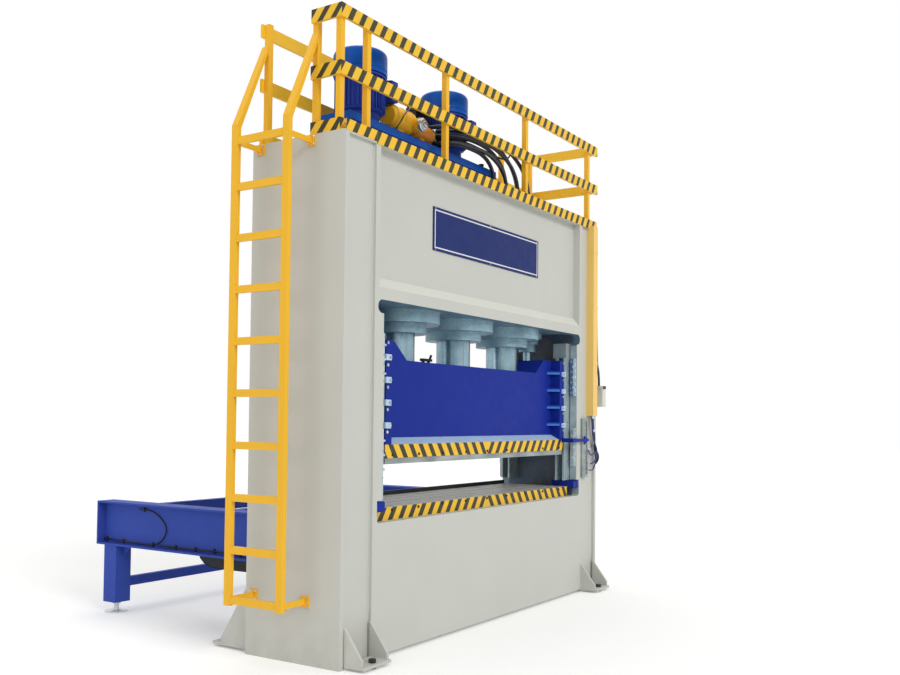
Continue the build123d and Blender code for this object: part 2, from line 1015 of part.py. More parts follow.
def ladder_rungs():
    """Evenly pitched rungs between a bottom and a top bar."""
    x = -half_width - ladder_standoff_width - stile_thickness / 2
    inner = (ladder_front_offset + stile_width / 2, ladder_rear_offset - stile_width / 2)
    last = frame_height - end_rung_gap
    count = round((last - first_rung_height) / rung_pitch_height)
    levels = [ladder_bottom_height + end_rung_gap, last]
    levels += [first_rung_height + index * rung_pitch_height for index in range(count)]
    return Compound([
        block((x - rung_thickness / 2, x + rung_thickness / 2), inner,
              (z - rung_height / 2, z + rung_height / 2))
        for z in levels
    ])


# Power unit


def oil_tank():
    """A welded tank, open under its lid."""
    half = tank_depth / 2
    wall = tank_wall_thickness
    shell = block((tank_left, tank_right), (-half, half), (frame_height, frame_height + tank_height))
    return shell - block((tank_left + wall, tank_right - wall), (-half + wall, half - wall),
                         (frame_height + wall, frame_height + tank_height))


def tank_cover():
    half = tank_depth / 2 + tank_lid_lip
    return block((tank_left - tank_lid_lip, tank_right + tank_lid_lip), (-half, half),
                 (frame_height + tank_height, lid_top))


def motor_body(x):
    """A finned motor standing on its flange, with the bore of its shaft open at the top."""
    shaft = fan_shaft_radius + piston_clearance
    profile = [(0, lid_top), (motor_foot_radius, lid_top),
               (motor_foot_radius, motor_bottom - motor_neck_height), (motor_radius, motor_bottom),
               (motor_radius, motor_top), (shaft, motor_top), (shaft, motor_bottom), (0, motor_bottom)]
    fin = block((motor_radius - motor_fin_width, motor_radius + motor_fin_height),
                (-motor_fin_width / 2, motor_fin_width / 2),
                (motor_bottom + motor_fin_width, motor_top - cowl_drop_height - motor_fin_width))
    step = 360 / motor_fin_count
    fins = [Pos(x, 0, 0) * Rot(0, 0, (index + 0.5) * step) * fin for index in range(motor_fin_count)]
    return turned(profile, x, 0) + fins


def fan_cowl(x):
    """The domed cowl over the fan, open below and slotted on top."""
    low = motor_top - cowl_drop_height
    high = low + cowl_height
    inner = cowl_radius - cowl_wall_thickness
    shoulder = high - cowl_crown_width / 2
    profile = [(0, high), (cowl_radius - cowl_crown_width, high), (cowl_radius, shoulder),
               (cowl_radius, low), (inner, low), (inner, shoulder - cowl_wall_thickness / 2),
               (inner - cowl_crown_width, high - cowl_wall_thickness), (0, high - cowl_wall_thickness)]
    cowl = turned(profile, x, 0)
    slot = extrude(Pos(grille_centre_radius, 0) * Rectangle(grille_slot_length, grille_slot_width),
                   cowl_wall_thickness)
    for index in range(grille_count):
        cowl -= Pos(x, 0, high - cowl_wall_thickness) * Rot(0, 0, index * 360 / grille_count) * slot
    ear = block((0, inner + cowl_wall_thickness / 2), (-cowl_ear_width / 2, cowl_ear_width / 2),
                (low, low + cowl_ear_width))
    ears = [Pos(x, 0, 0) * Rot(0, 0, 45 + index * 90) * ear for index in range(4)]
    return cowl + [piece - disc(motor_radius, x, 0, low, low + cowl_ear_width) for piece in ears]


def cooling_fan(x):
    """The fan wheel on its shaft, which turns in the motor's bore."""
    low = motor_top + fan_gap
    high = low + fan_height
    fan = disc(fan_shaft_radius, x, 0, motor_bottom + guide_clearance, high)
    fan += disc(fan_hub_radius, x, 0, low, high)
    blade = block((fan_hub_radius - fan_blade_thickness, fan_radius),
                  (-fan_blade_thickness / 2, fan_blade_thickness / 2), (low, high))
    return fan + [Pos(x, 0, 0) * Rot(0, 0, index * 360 / fan_blades) * blade
                  for index in range(fan_blades)]


def terminal_box(x):
    """The connection box on the motor's right flank."""
    middle = motor_bottom + motor_height / 2
    half = terminal_width / 2
    box = block((x + motor_radius - half, x + motor_radius + terminal_depth), (-half, half),
                (middle - half, middle + half))
    clear = motor_radius + motor_fin_height + guide_clearance
    lug = block((x + motor_radius - motor_fin_width, x + motor_radius + terminal_depth),
                (-motor_fin_width, motor_fin_width), (middle - half, middle + half))
    box -= disc(clear, x, 0, middle - half, middle + half)
    return box + (lug - disc(motor_radius, x, 0, middle - half, middle + half))


def valve_manifold():
    """The ported steel block between the motors."""
    half = manifold_width / 2
    return block((manifold_offset - half, manifold_offset + half),
                 (manifold_front_offset, manifold_front_offset + manifold_depth),
                 (lid_top, lid_top + manifold_height))


def solenoid_valves():
    """Finned valve coils in a row on the manifold, each on a square foot."""
    low = lid_top + manifold_height
    high = low + valve_height
    pitch = manifold_width / valve_count
    half = pitch / 2 - valve_gap
    core = half - valve_gap
    y = manifold_front_offset + manifold_depth / 2
    valves = []
    for x in row_levels(manifold_offset, manifold_offset, valve_count, pitch):
        valve = block((x - half, x + half), (y - half, y + half), (low, low + valve_foot_height))
        valve += block((x - core, x + core), (y - core, y + core), (low, high))
        for z in row_levels(low + valve_foot_height, high, valve_fins, 4 * valve_gap):
            valve += block((x - half, x + half), (y - half, y + half), (z, z + valve_gap))
        valves.append(valve)
    return Compound(valves)


def filter_body(x, radius, length, cap_length):
    """A lying canister with bevelled ends, a stepped cap at the right, and its foot."""
    y = filter_offset
    z = lid_top + filter_lift_height + radius
    bevel = radius / 4
    profile = [(-length / 2, 0), (-length / 2, radius - bevel), (-length / 2 + bevel, radius),
               (length / 2, radius), (length / 2, radius - bevel),
               (length / 2 + cap_length, radius - bevel), (length / 2 + cap_length, 0)]
    body = Pos(x, y, z) * revolve(make_face(Polyline(*profile, close=True)), Axis.X)
    half = filter_foot_width / 2
    return body + block((x - half, x + half), (y - half, y + half), (lid_top, z))


def pressure_filter():
    return filter_body(pressure_filter_offset, pressure_filter_radius, pressure_filter_length,
                       filter_cap_length)


def return_filter():
    return filter_body(return_filter_offset, return_filter_radius, return_filter_length,
                       2 * filter_cap_length)


def hose_routes():
    """Each hose's points, from the manifold's front, over the tank, to its port in the deck.

    Heights of the points are above the tank's lid, and every port stands on the deck."""
    port = frame_height - lid_top + fitting_length
    start = manifold_front_offset - fitting_length
    routes = [
        [(-515, start, 45), (-515, -270, 45), (-180, -274, 90), (180, -262, 80),
         (380, -240, -60), (380, -240, port)],
        [(-585, start, 45), (-585, -332, 45), (-250, -336, 75), (160, -330, 90),
         (500, -320, -60), (500, -320, port)],
        [(-515, start, 115), (-515, -268, 115), (-150, -272, 180), (300, -262, 170),
         (620, -250, -10), (620, -250, port)],
        [(-585, start, 115), (-585, -332, 115), (-220, -338, 155), (300, -334, 180),
         (740, -322, -10), (740, -322, port)],
        [(-515, start, 185), (-515, -266, 185), (-120, -270, 250), (400, -262, 265),
         (860, -250, 10), (860, -250, port)],
        [(-655, start, 185), (-655, -330, 185), (-200, -338, 225), (450, -334, 255),
         (980, -320, 20), (980, -320, port)],
    ]
    return [[(x, y, lid_top + rise) for x, y, rise in route] for route in routes]


def hose_fittings():
    """The screwed ends of every hose, at the manifold and in the deck."""
    ends = []
    for route in hose_routes():
        start = Vector(*route[0]) + Vector(0, fitting_length, 0)
        port = Vector(*route[-1]) - Vector(0, 0, fitting_length)
        for spot, direction in ((start, (0, -1, 0)), (port, (0, 0, 1))):
            ends.append(hex_head(fitting_width, spot, direction, fitting_length / 2)
                        + pin(fitting_radius, spot, direction, fitting_length))
    return Compound(ends)


def pressure_hoses():
    return Compound([cord(route, hose_radius) for route in hose_routes()])


# Fittings on the right column


def cable_duct():
    """A closed duct down the front web of the right column, notched round the deck's edge."""
    web_face = -half_depth + web_recess_depth
    x = (duct_right - duct_width, duct_right)
    duct = block(x, (-half_depth - duct_depth, web_face), (duct_bottom_height, frame_height))
    return duct - block(x, (-half_depth, web_face), (column_top, frame_height))


def scale_rail():
    """The linear scale beside the opening, with its fixing strip against the web."""
    x = (scale_left, scale_left + scale_width)
    span = (scale_bottom_height, scale_top_height)
    margin = scale_margin_width
    rail = block(x, (-half_depth - scale_thickness, -half_depth), span)
    rail -= block((x[0] + margin, x[1] - margin),
                  (-half_depth - scale_thickness, -half_depth - scale_thickness / 2),
                  (span[0] + margin, span[1] - margin))
    return rail + block((leg_outer, x[1]), (-half_depth, -half_depth + web_recess_depth), span)


def position_arm():
    """The pointer arm that the ram carries past the face plate to the scale."""
    level = ram_bottom - arm_drop_height
    blade_y = -half_depth - scale_thickness - arm_gap
    start = ram_half - arm_block_width
    head = arm_end - arm_head_length
    outline = [(start, level - arm_height / 2), (ram_half, level - arm_height / 2),
               (head, level - arm_tip_height / 2), (head, level - arm_head_height / 2),
               (arm_end, level), (head, level + arm_head_height / 2),
               (head, level + arm_tip_height / 2), (ram_half, level + arm_height / 2),
               (start, level + arm_height / 2)]
    blade = front_outline(outline, blade_y - arm_thickness, blade_y)
    return blade + block((start, ram_half), (blade_y, -ram_depth / 2),
                         (level - arm_height / 2, level + arm_height / 2))


def switch_box():
    """A limit switch housing on a bracket beside the outer plate."""
    near = half_width + switch_bracket_width
    far = near + switch_width
    front = -half_depth - switch_forward_length
    depth = (front, front + switch_depth)
    top = switch_bottom_height + switch_height
    box = block((near, far), depth, (switch_bottom_height, top))
    box = chamfer(box.edges().filter_by(Axis.Z), switch_lip_width)
    cap = block((near - switch_lip_width, far + switch_lip_width), depth,
                (top, top + switch_cap_height))
    bracket = block((half_width, near), (-half_depth, depth[1]),
                    (switch_bottom_height + switch_cap_height, top - switch_cap_height))
    return box + cap + bracket


def control_cables():
    """Cables down the front edge of the right column into the switch housing's cap."""
    lane = -half_depth - cable_radius - guide_clearance
    cap_top = switch_bottom_height + switch_height + switch_cap_height
    column_x = half_width - outer_plate_thickness / 2
    box_x = half_width + switch_bracket_width + switch_width / 2
    cables = []
    for shift in row_levels(0, 0, cable_count, cable_pitch_width):
        start = (column_x + shift, lane)
        end = (box_x + shift, lane)
        cables.append(cord([(*start, frame_height), (*start, cap_top + cable_rise_height),
                            (*end, cap_top + cable_rise_height / 2), (*end, cap_top)], cable_radius))
    return Compound(cables)


def cable_reel():
    """A small round reel on the outer plate, dished between its rims."""
    dish = reel_radius - reel_core_radius
    profile = [(0, 0), (reel_radius, 0), (reel_radius, reel_flange_thickness),
               (reel_core_radius, reel_flange_thickness + dish / 2),
               (reel_radius, reel_width - reel_flange_thickness), (reel_radius, reel_width),
               (0, reel_width)]
    reel = Rot(0, 90, 0) * turned(profile, 0, 0)
    return Pos(half_width, -half_depth + reel_front_gap, reel_centre_height) * reel


def nameplate():
    """The blank plate on the crown's face."""
    centre = (lintel_top + column_top) / 2 + nameplate_rise
    half = nameplate_height / 2
    return block((-nameplate_width / 2, nameplate_width / 2),
                 (-core_half_depth - nameplate_thickness, -core_half_depth),
                 (centre - half, centre + half))


def build():
    nodes = {}
    for side, name in zip(sides, ("left", "right")):
        nodes[f"column_{name}"] = column(side)
    for face, name in zip(sides, ("front", "rear")):
        nodes[f"face_frame_{name}"] = face_frame(face)
    nodes["inner_walls"] = Compound([inner_wall(side) for side in sides])
    nodes["crown_faces"] = Compound([crown_face(face) for face in sides])
    nodes["crown_floor"] = crown_floor_plate()
    nodes["box_ribs"] = Compound(crown_ribs() + bed_ribs())
    nodes["crown_deck"] = deck()
    nodes["bed_top"], nodes["bed_bottom"] = bed_plates()
    nodes["feet"] = feet()
    nodes["levelling_screws"] = levelling_screws()
    nodes["gib_rails"] = Compound(gib_rails() + adjusting_bars() + adjusting_strips())
    nodes["gib_bolts"] = gib_bolts()
    nodes["guide_shoes"] = guide_shoes()
    nodes["shoe_screws"] = shoe_screws()
    nodes["ram_body"] = ram_body()
    nodes["ram_end_plates"] = ram_end_plates()
    nodes["ram_gussets"] = ram_gussets()
    nodes["ram_ledges"] = ram_ledges()
    nodes["ram_base_plate"] = ram_base_plate()
    nodes["upper_platen"] = upper_platen()
    nodes["main_cylinders"] = Compound([main_cylinder(x) for x in cylinder_places()])
    nodes["main_plungers"] = Compound([main_plunger(x) for x in cylinder_places()])
    nodes["return_cylinders"] = Compound([return_cylinder(x) for x in return_places()])
    nodes["return_rods"] = Compound([return_rod(x) for x in return_places()])
    nodes["bolster_plate"] = bolster_plate()
    nodes["bolster_rear_bar"] = bolster_rear_bar()
    nodes["bolster_end_blocks"] = bolster_end_blocks()
    nodes["table_beams"] = Compound([table_beam(side) for side in sides])
    nodes["table_legs"] = Compound([table_leg(side) for side in sides])
    nodes["table_ties"] = table_ties()
    nodes["levelling_feet"] = levelling_feet()
    nodes["drag_chain"] = drag_chain()
    nodes["guard_posts"] = guard_posts()
    nodes["guard_rails"] = guard_rails()
    nodes["toe_boards"] = toe_boards()
    nodes["ladder_stiles"] = ladder_stiles()
    nodes["ladder_rungs"] = ladder_rungs()
    nodes["oil_tank"] = oil_tank()
    nodes["tank_cover"] = tank_cover()
    motors = motor_places
    nodes["motors"] = Compound([motor_body(x) for x in motors])
    nodes["fan_cowls"] = Compound([fan_cowl(x) for x in motors])
    for x, name in zip(motors, ("left", "right")):
        nodes[f"cooling_fan_{name}"] = cooling_fan(x)
    nodes["terminal_boxes"] = Compound([terminal_box(x) for x in motors])
    nodes["valve_manifold"] = valve_manifold()
    nodes["solenoid_valves"] = solenoid_valves()
    nodes["pressure_filter"] = pressure_filter()
    nodes["return_filter"] = return_filter()
    nodes["hose_fittings"] = hose_fittings()
    nodes["pressure_hoses"] = pressure_hoses()
    nodes["cable_duct"] = cable_duct()
    nodes["control_cables"] = control_cables()
    nodes["scale_rail"] = scale_rail()
    nodes["position_arm"] = position_arm()
    nodes["switch_box"] = switch_box()
    nodes["cable_reel"] = cable_reel()
    nodes["nameplate"] = nameplate()
    return nodes


def main():
    os.makedirs("parts", exist_ok=True)
    for name, shape in build().items():
        export_step(shape, f"parts/{name}.step")


main()
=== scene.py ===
import math
import bmesh
import bpy
from mathutils import Matrix, Vector


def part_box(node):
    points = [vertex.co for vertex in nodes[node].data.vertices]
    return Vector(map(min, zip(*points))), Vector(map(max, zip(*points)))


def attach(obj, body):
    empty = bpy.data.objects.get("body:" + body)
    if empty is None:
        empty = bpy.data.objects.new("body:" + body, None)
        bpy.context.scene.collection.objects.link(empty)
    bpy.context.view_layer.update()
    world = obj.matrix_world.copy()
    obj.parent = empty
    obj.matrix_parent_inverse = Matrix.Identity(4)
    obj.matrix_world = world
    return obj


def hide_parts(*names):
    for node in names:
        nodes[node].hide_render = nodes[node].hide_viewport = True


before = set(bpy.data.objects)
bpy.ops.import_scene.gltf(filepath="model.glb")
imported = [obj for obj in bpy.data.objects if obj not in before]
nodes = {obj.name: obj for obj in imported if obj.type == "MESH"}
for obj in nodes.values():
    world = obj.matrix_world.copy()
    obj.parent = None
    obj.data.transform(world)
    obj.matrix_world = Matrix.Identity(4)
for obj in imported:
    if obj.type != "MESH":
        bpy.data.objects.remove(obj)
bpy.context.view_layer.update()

link = bpy.context.scene.collection.objects.link


# camera

def makeCamera():
    view = {
        "position": (-8.187, -5.267, 1.935),
        "yaw": 57.076,  # from +Y towards +X
        "pitch": 2.106,
        "roll": 0.547,
        "lens": 38.9,
        "sensor": 36,
        "shiftY": 0.0513,
        "farthest": 200,
    }
    yaw, pitch, roll = (math.radians(view[key]) for key in ("yaw", "pitch", "roll"))
    forward = Vector((math.sin(yaw) * math.cos(pitch), math.cos(yaw) * math.cos(pitch), math.sin(pitch)))
    level = Vector((math.cos(yaw), -math.sin(yaw), 0))
    upright = level.cross(forward)
    right = level * math.cos(roll) + upright * math.sin(roll)
    up = upright * math.cos(roll) - level * math.sin(roll)
    lens = bpy.data.cameras.new("camera")
    lens.sensor_width = view["sensor"]
    lens.lens = view["lens"]
    lens.shift_y = view["shiftY"]
    lens.clip_end = view["farthest"]
    camera = bpy.data.objects.new("camera", lens)
    link(camera)
    turn = Matrix((right, up, -forward)).transposed().to_4x4()
    camera.matrix_world = Matrix.Translation(view["position"]) @ turn
    bpy.context.scene.camera = camera


makeCamera()
print("camera placed")


# shader helpers

def linear(code, share=1.0):
    parts = [int(code[i:i + 2], 16) / 255 for i in (1, 3, 5)]
    return [share * (p / 12.92 if p < 0.04045 else ((p + 0.055) / 1.055) ** 2.4) for p in parts] + [1]


# one material under construction: makes nodes and fills their sockets
class Shader:
    def __init__(self, name):
        self.material = bpy.data.materials.new(name)
        self.material.use_nodes = True
        self.tree = self.material.node_tree
        self.surface = self.tree.nodes["Principled BSDF"]
        self.place = self.node("ShaderNodeTexCoord").outputs["Object"]

    def node(self, kind, **settings):
        made = self.tree.nodes.new(kind)
        for key, value in settings.items():
            setattr(made, key, value)
        return made

    def fill(self, socket, value):
        if isinstance(value, bpy.types.NodeSocket):
            self.tree.links.new(value, socket)
        else:
            socket.default_value = value

    def set(self, made, **values):
        for key, value in values.items():
            self.fill(made.inputs[key.replace("_", " ")], value)
        return made

    def math(self, operation, first, second=0.0):
        made = self.node("ShaderNodeMath", operation=operation)
        self.fill(made.inputs[0], first)
        self.fill(made.inputs[1], second)
        return made.outputs[0]

    def noise(self, scale, detail=3, stretch=(1, 1, 1)):
        mapping = self.node("ShaderNodeMapping")
        self.set(mapping, Vector=self.place, Scale=stretch)
        made = self.node("ShaderNodeTexNoise")
        self.set(made, Vector=mapping.outputs["Vector"], Scale=scale, Detail=detail)
        return made.outputs["Fac"]

    def span(self, value, low, high, outLow=0.0, outHigh=1.0):
        made = self.node("ShaderNodeMapRange")
        self.set(made, Value=value, From_Min=low, From_Max=high, To_Min=outLow, To_Max=outHigh)
        return made.outputs["Result"]

    def mix(self, factor, first, second):
        made = self.node("ShaderNodeMix", data_type="RGBA")
        for index, value in ((0, factor), (6, first), (7, second)):
            self.fill(made.inputs[index], value)
        return made.outputs[2]

    # two colours in cloudy patches
    def mottle(self, clouds, first, second):
        return self.mix(self.span(clouds, 0.35, 0.7), linear(first), linear(second))

    # a coat that is a little darker in broad, faint patches
    def blotch(self, colour, shade):
        patches = self.span(self.noise(1.4, 4), 0.35, 0.65, 0, 0.6)
        return self.mix(patches, linear(colour), linear(colour, shade))

    def axes(self, source=None):
        made = self.node("ShaderNodeSeparateXYZ")
        self.set(made, Vector=source or self.place)
        return list(made.outputs)

    def normals(self):
        return self.axes(self.node("ShaderNodeTexCoord").outputs["Normal"])

    # 1 where the value lies between two limits
    def within(self, value, low, high):
        return self.both(self.math("GREATER_THAN", value, low), self.math("LESS_THAN", value, high))

    def both(self, first, second):
        return self.math("MULTIPLY", first, second)

    # roughness that drifts with a noise
    def sheen(self, clouds, low, high):
        self.set(self.surface, Roughness=self.span(clouds, 0.3, 0.7, low, high))

    def bump(self, height, strength, distance):
        made = self.node("ShaderNodeBump")
        self.set(made, Height=height, Strength=strength, Distance=distance)
        self.set(self.surface, Normal=made.outputs["Normal"])

    def orangePeel(self, strength=0.05, fineness=220):
        self.bump(self.noise(fineness, 2), strength, 0.001)


# paints

paints = {
    "framePaint": dict(slot="frame_paint", colour="#c7c8c1", shade=0.95, rough=0.5, gloss=0.25,
                       dust="#b3b1a8"),
    "pressBlue": dict(slot="blue_paint", colour="#1a2f93", shade=0.85, rough=0.42, gloss=0.08),
    "tableBlue": dict(slot="blue_paint", colour="#3c53ad", shade=0.9, rough=0.48, gloss=0.08),
    # ledges: pale blue standing in for light caught on the ram's sloped ledges, a painted highlight
    "ledgeHighlightBlue": dict(slot="blue_paint", colour="#c0dcf2", shade=0.8, rough=0.3, gloss=0.5),
    # ribs: brighter blue for the light caught on the ribs' edges, a painted highlight
    "ribHighlightBlue": dict(slot="blue_paint", colour="#3c78cc", shade=0.8, rough=0.4, gloss=0.2),
    "cableBlue": dict(slot="rubber_black", colour="#1e2f78", shade=0.8, rough=0.4, gloss=0.4),
    "plateNavy": dict(slot="blue_paint", colour="#182a68", shade=0.9, rough=0.4, gloss=0.12),
    "motorBlue": dict(slot="tank_paint", colour="#0a52b0", shade=0.86, rough=0.32, gloss=0.12),
    "castBlue": dict(slot="tank_paint", colour="#2a43a2", shade=0.84, rough=0.4, gloss=0.1),
    "railYellow": dict(slot="yellow_paint", colour="#f3ba2a", shade=0.94, rough=0.42, gloss=0.3),
    "ductYellow": dict(slot="yellow_paint", colour="#f3cd78", shade=0.95, rough=0.45, gloss=0.2),
    "filterOrange": dict(slot="orange_paint", colour="#d98b22", shade=0.85, rough=0.4, gloss=0.3),
    "boxBeige": dict(slot="beige_plastic", colour="#d9dad0", shade=0.95, rough=0.5, gloss=0.3),
    "blackCasting": dict(slot="black_casting", colour="#1c1e22", shade=0.7, rough=0.5, gloss=0.3, peel=0.2),
    "hoseRubber": dict(slot="rubber_black", colour="#141a26", shade=0.75, rough=0.38, gloss=0.5, peel=0.12),
    "borderWhite": dict(slot="bright_fastener", colour="#dcdde2", shade=0.95, rough=0.4, gloss=0.3),
}


# enamel: faint blotches, runs down the wall, orange peel and, on the frame, a dusty foot
def makePaint(name, look):
    s = Shader(name)
    runs = s.span(s.noise(2.2, 3, (3, 3, 0.35)), 0.4, 0.75, 0, 0.3)
    colour = s.mix(runs, s.blotch(look["colour"], look["shade"]), linear(look["colour"], look["shade"]))
    if "dust" in look:
        height = s.axes()[2]
        dusty = s.both(s.span(height, 0.5, 0.0), s.span(s.noise(6, 5), 0.35, 0.7, 0, 0.5))
        colour = s.mix(dusty, colour, linear(look["dust"]))
    s.set(s.surface, Base_Color=colour, Specular_IOR_Level=look["gloss"])
    s.sheen(s.noise(9, 3), look["rough"] - 0.05, look["rough"] + 0.08)
    s.orangePeel(look.get("peel", 0.05))
    return s.material


# metals

metals = {
    "machinedSteel": dict(slot="machined_steel", colour="#a9b0b0", stain="#74807f", rough=0.38, metal=0.55),
    "guideSteel": dict(slot="machined_steel", colour="#8a9aa2", stain="#5b6c76", rough=0.36, metal=0.6,
                       along=(1, 1, 0.06)),
    "flangeSteel": dict(slot="dark_steel", colour="#92b4c1", stain="#628393", rough=0.42, metal=0.2),
    "wallSteel": dict(slot="dark_steel", colour="#6b8196", stain="#43566c", rough=0.55, metal=0.1,
                      patch="#787064"),
    "ceilingSteel": dict(slot="dark_steel", colour="#6d90a2", stain="#466479", rough=0.5, metal=0.15,
                         patch="#7d8884"),
    "darkSteel": dict(slot="dark_steel", colour="#3c4046", stain="#202328", rough=0.45, metal=0.5),
    # plungers: the vertical dark and light streaks in their colour are a painted reflection
    "plungerChrome": dict(slot="plunger_chrome", colour="#9cbac9", stain="#5d7a86", rough=0.24, metal=0.8,
                          along=(1, 1, 0.02), marks=48, patch="#8d9488", reflectionStreaks=(9, 9, 0.02)),
    "brightBolt": dict(slot="bright_fastener", colour="#d6dade", stain="#9aa2a8", rough=0.25, metal=0.8),
}


# worked steel: tool marks along one axis, stains and, where it was left raw, brownish patches; on the
# plungers, marks and patches are drawn out into vertical dark and light streaks, a painted reflection of the
# surroundings
def makeMetal(name, look):
    s = Shader(name)
    stain = linear(look["stain"])
    marks = s.noise(look.get("marks", 60), 3, look.get("along", (0.05, 1, 1)))
    colour = s.mix(s.span(s.noise(3, 4), 0.4, 0.7), linear(look["colour"]), stain)
    colour = s.mix(s.span(marks, 0.35, 0.7, 0, 0.5), colour, stain)
    if "patch" in look:
        # on the plungers these patches are stretched into vertical streaks, a painted reflection
        patches = s.noise(5, 6, look.get("reflectionStreaks", (1, 1, 1)))
        colour = s.mix(s.span(patches, 0.48, 0.68, 0, 0.7), colour, linear(look["patch"]))
    s.set(s.surface, Base_Color=colour, Metallic=look["metal"])
    s.sheen(marks, look["rough"] - 0.06, look["rough"] + 0.1)
    s.bump(marks, 0.15, 0.0006)
    return s.material


finish = {name: makePaint(name, look) for name, look in paints.items()}
finish.update({name: makeMetal(name, look) for name, look in metals.items()})
slotOf = {name: look["slot"] for name, look in {**paints, **metals}.items()}


# slanted tape

# the front rails, and the short stretch beside the ladder
def railFaces(s, x, y, nx, ny):
    front = s.both(s.math("LESS_THAN", y, -0.42), s.math("GREATER_THAN", ny, 0.7))
    left = s.both(s.math("LESS_THAN", x, -2.3), s.math("LESS_THAN", y, 0))
    return s.math("MAXIMUM", front, s.both(left, s.math("GREATER_THAN", nx, 0.7)))


# the long outer edges of a plate, not the walls of its slots
def longEdges(s, x, y, nx, ny):
    outer = s.math("GREATER_THAN", s.math("ABSOLUTE", y), 0.4)
    return s.both(s.math("GREATER_THAN", ny, 0.7), outer)


# pitch, start and slant run along the front, the side ones round the corner; tops are the levels
# that the slant is measured from, and share is the dark part of each pitch
tape = {"yellow": "#f3c22e", "yellowWorn": "#e2ae2a", "black": "#2f2e1d", "blackWorn": "#4a4933"}
plateTape = dict(tape, pitch=0.147, share=0.46, start=0.045, mirrored=True, sidePitch=0.147, sideSlant=0.65,
                 sideStart=0, taped=longEdges)
tapes = {
    "railTape": dict(tape, pitch=0.139, share=0.43, slant=0.55, start=-2.206, tops=(4.3, 4.755, 5.215),
                     mirrored=False, sidePitch=0.14, sideSlant=0.8, sideStart=0.465, taped=railFaces),
    "ramTape": dict(plateTape, slant=0.65, tops=(1.6625,), bare="#8a9496", bareMarks="#6a7577"),
    "bolsterTape": dict(plateTape, slant=-0.65, tops=(1.1425,), bare="#c6c5bf", bareMarks="#a9a7a1"),
}


# the stripes run in the face's own length, and stay off the faces that have no tape
def makeTape(name, look):
    s = Shader(name)
    x, y, z = s.axes()
    nx, ny, _ = (s.math("ABSOLUTE", n) for n in s.normals())
    level = look["tops"][0]
    for lower, upper in zip(look["tops"], look["tops"][1:]):
        step = s.math("GREATER_THAN", z, (lower + upper) / 2)
        level = s.math("ADD", level, s.both(step, upper - lower))
    height = s.math("SUBTRACT", z, level)
    run = s.math("ABSOLUTE", x) if look["mirrored"] else x
    front = s.math("SUBTRACT", s.math("SUBTRACT", run, s.both(height, look["slant"])), look["start"])
    side = s.math("ADD", s.math("ADD", y, s.both(height, look["sideSlant"])), look["sideStart"])
    across = s.math("GREATER_THAN", nx, 0.7)
    along = s.math("ADD", s.both(across, s.math("DIVIDE", side, look["sidePitch"])),
                   s.both(s.math("SUBTRACT", 1, across), s.math("DIVIDE", front, look["pitch"])))
    dark = s.math("LESS_THAN", s.math("FRACT", s.math("ADD", along, 60)), look["share"])
    taped = look["taped"](s, x, y, nx, ny)
    wear = s.span(s.noise(14, 5), 0.3, 0.75, 0.0, 0.35)
    yellow = s.mix(wear, linear(look["yellow"]), linear(look["yellowWorn"]))
    black = s.mix(wear, linear(look["black"]), linear(look["blackWorn"]))
    colour = s.mix(s.both(dark, taped), yellow, black)
    if "bare" in look:  # machined faces between the taped edges
        bare = s.mottle(s.noise(16, 2, (0.03, 1, 1)), look["bare"], look["bareMarks"])
        colour = s.mix(taped, bare, colour)
    s.set(s.surface, Base_Color=colour, Specular_IOR_Level=0.3)
    s.sheen(s.noise(20, 3), 0.34, 0.5)
    s.orangePeel(fineness=240)
    return s.material


for name, look in tapes.items():
    finish[name] = makeTape(name, look)
    slotOf[name] = "hazard_paint"


# face plates: painted, but raw flame-cut steel on the opening's own ceiling, corners and sides, and a paler
# lintel bevel where it faces upwards, a painted highlight
def makeCutPlate():
    look = {
        "ceiling": (2.785, 3.0), "widest": 1.9, "raw": ("#6a8796", "#3d5c78"),
        "jamb": (1.1, 2.785), "jambPlaces": (1.7, 1.9), "jambSteel": ("#a9b9bd", "#8799a1"),
        "slope": (3.0, 3.105), "slopeHighlight": "#d6d7cd",
    }
    s = Shader("cutPlate")
    x, _, z = s.axes()
    nx, ny, nz = s.normals()
    across = s.math("ABSOLUTE", x)
    edgeOn = s.math("LESS_THAN", s.math("ABSOLUTE", ny), 0.5)
    cut = s.both(s.both(s.within(z, *look["ceiling"]), edgeOn), s.math("LESS_THAN", across, look["widest"]))
    sides = s.both(s.within(z, *look["jamb"]), s.within(across, *look["jambPlaces"]))
    sides = s.both(sides, s.math("GREATER_THAN", s.math("ABSOLUTE", nx), 0.7))
    # painted highlight: the lintel bevel, where it faces upwards, is given a paler colour
    slope = s.both(s.within(z, *look["slope"]), s.within(nz, 0.15, 0.95))
    colour = s.blotch(paints["framePaint"]["colour"], 0.95)
    colour = s.mix(sides, colour, s.mottle(s.noise(7, 5), *look["jambSteel"]))
    colour = s.mix(slope, colour, linear(look["slopeHighlight"]))
    colour = s.mix(cut, colour, s.mottle(s.noise(7, 5), *look["raw"]))
    s.set(s.surface, Base_Color=colour, Roughness=s.span(cut, 0, 1, 0.5, 0.42), Specular_IOR_Level=0.25)
    s.orangePeel()
    return s.material


finish["cutPlate"] = makeCutPlate()
slotOf["cutPlate"] = "frame_paint"


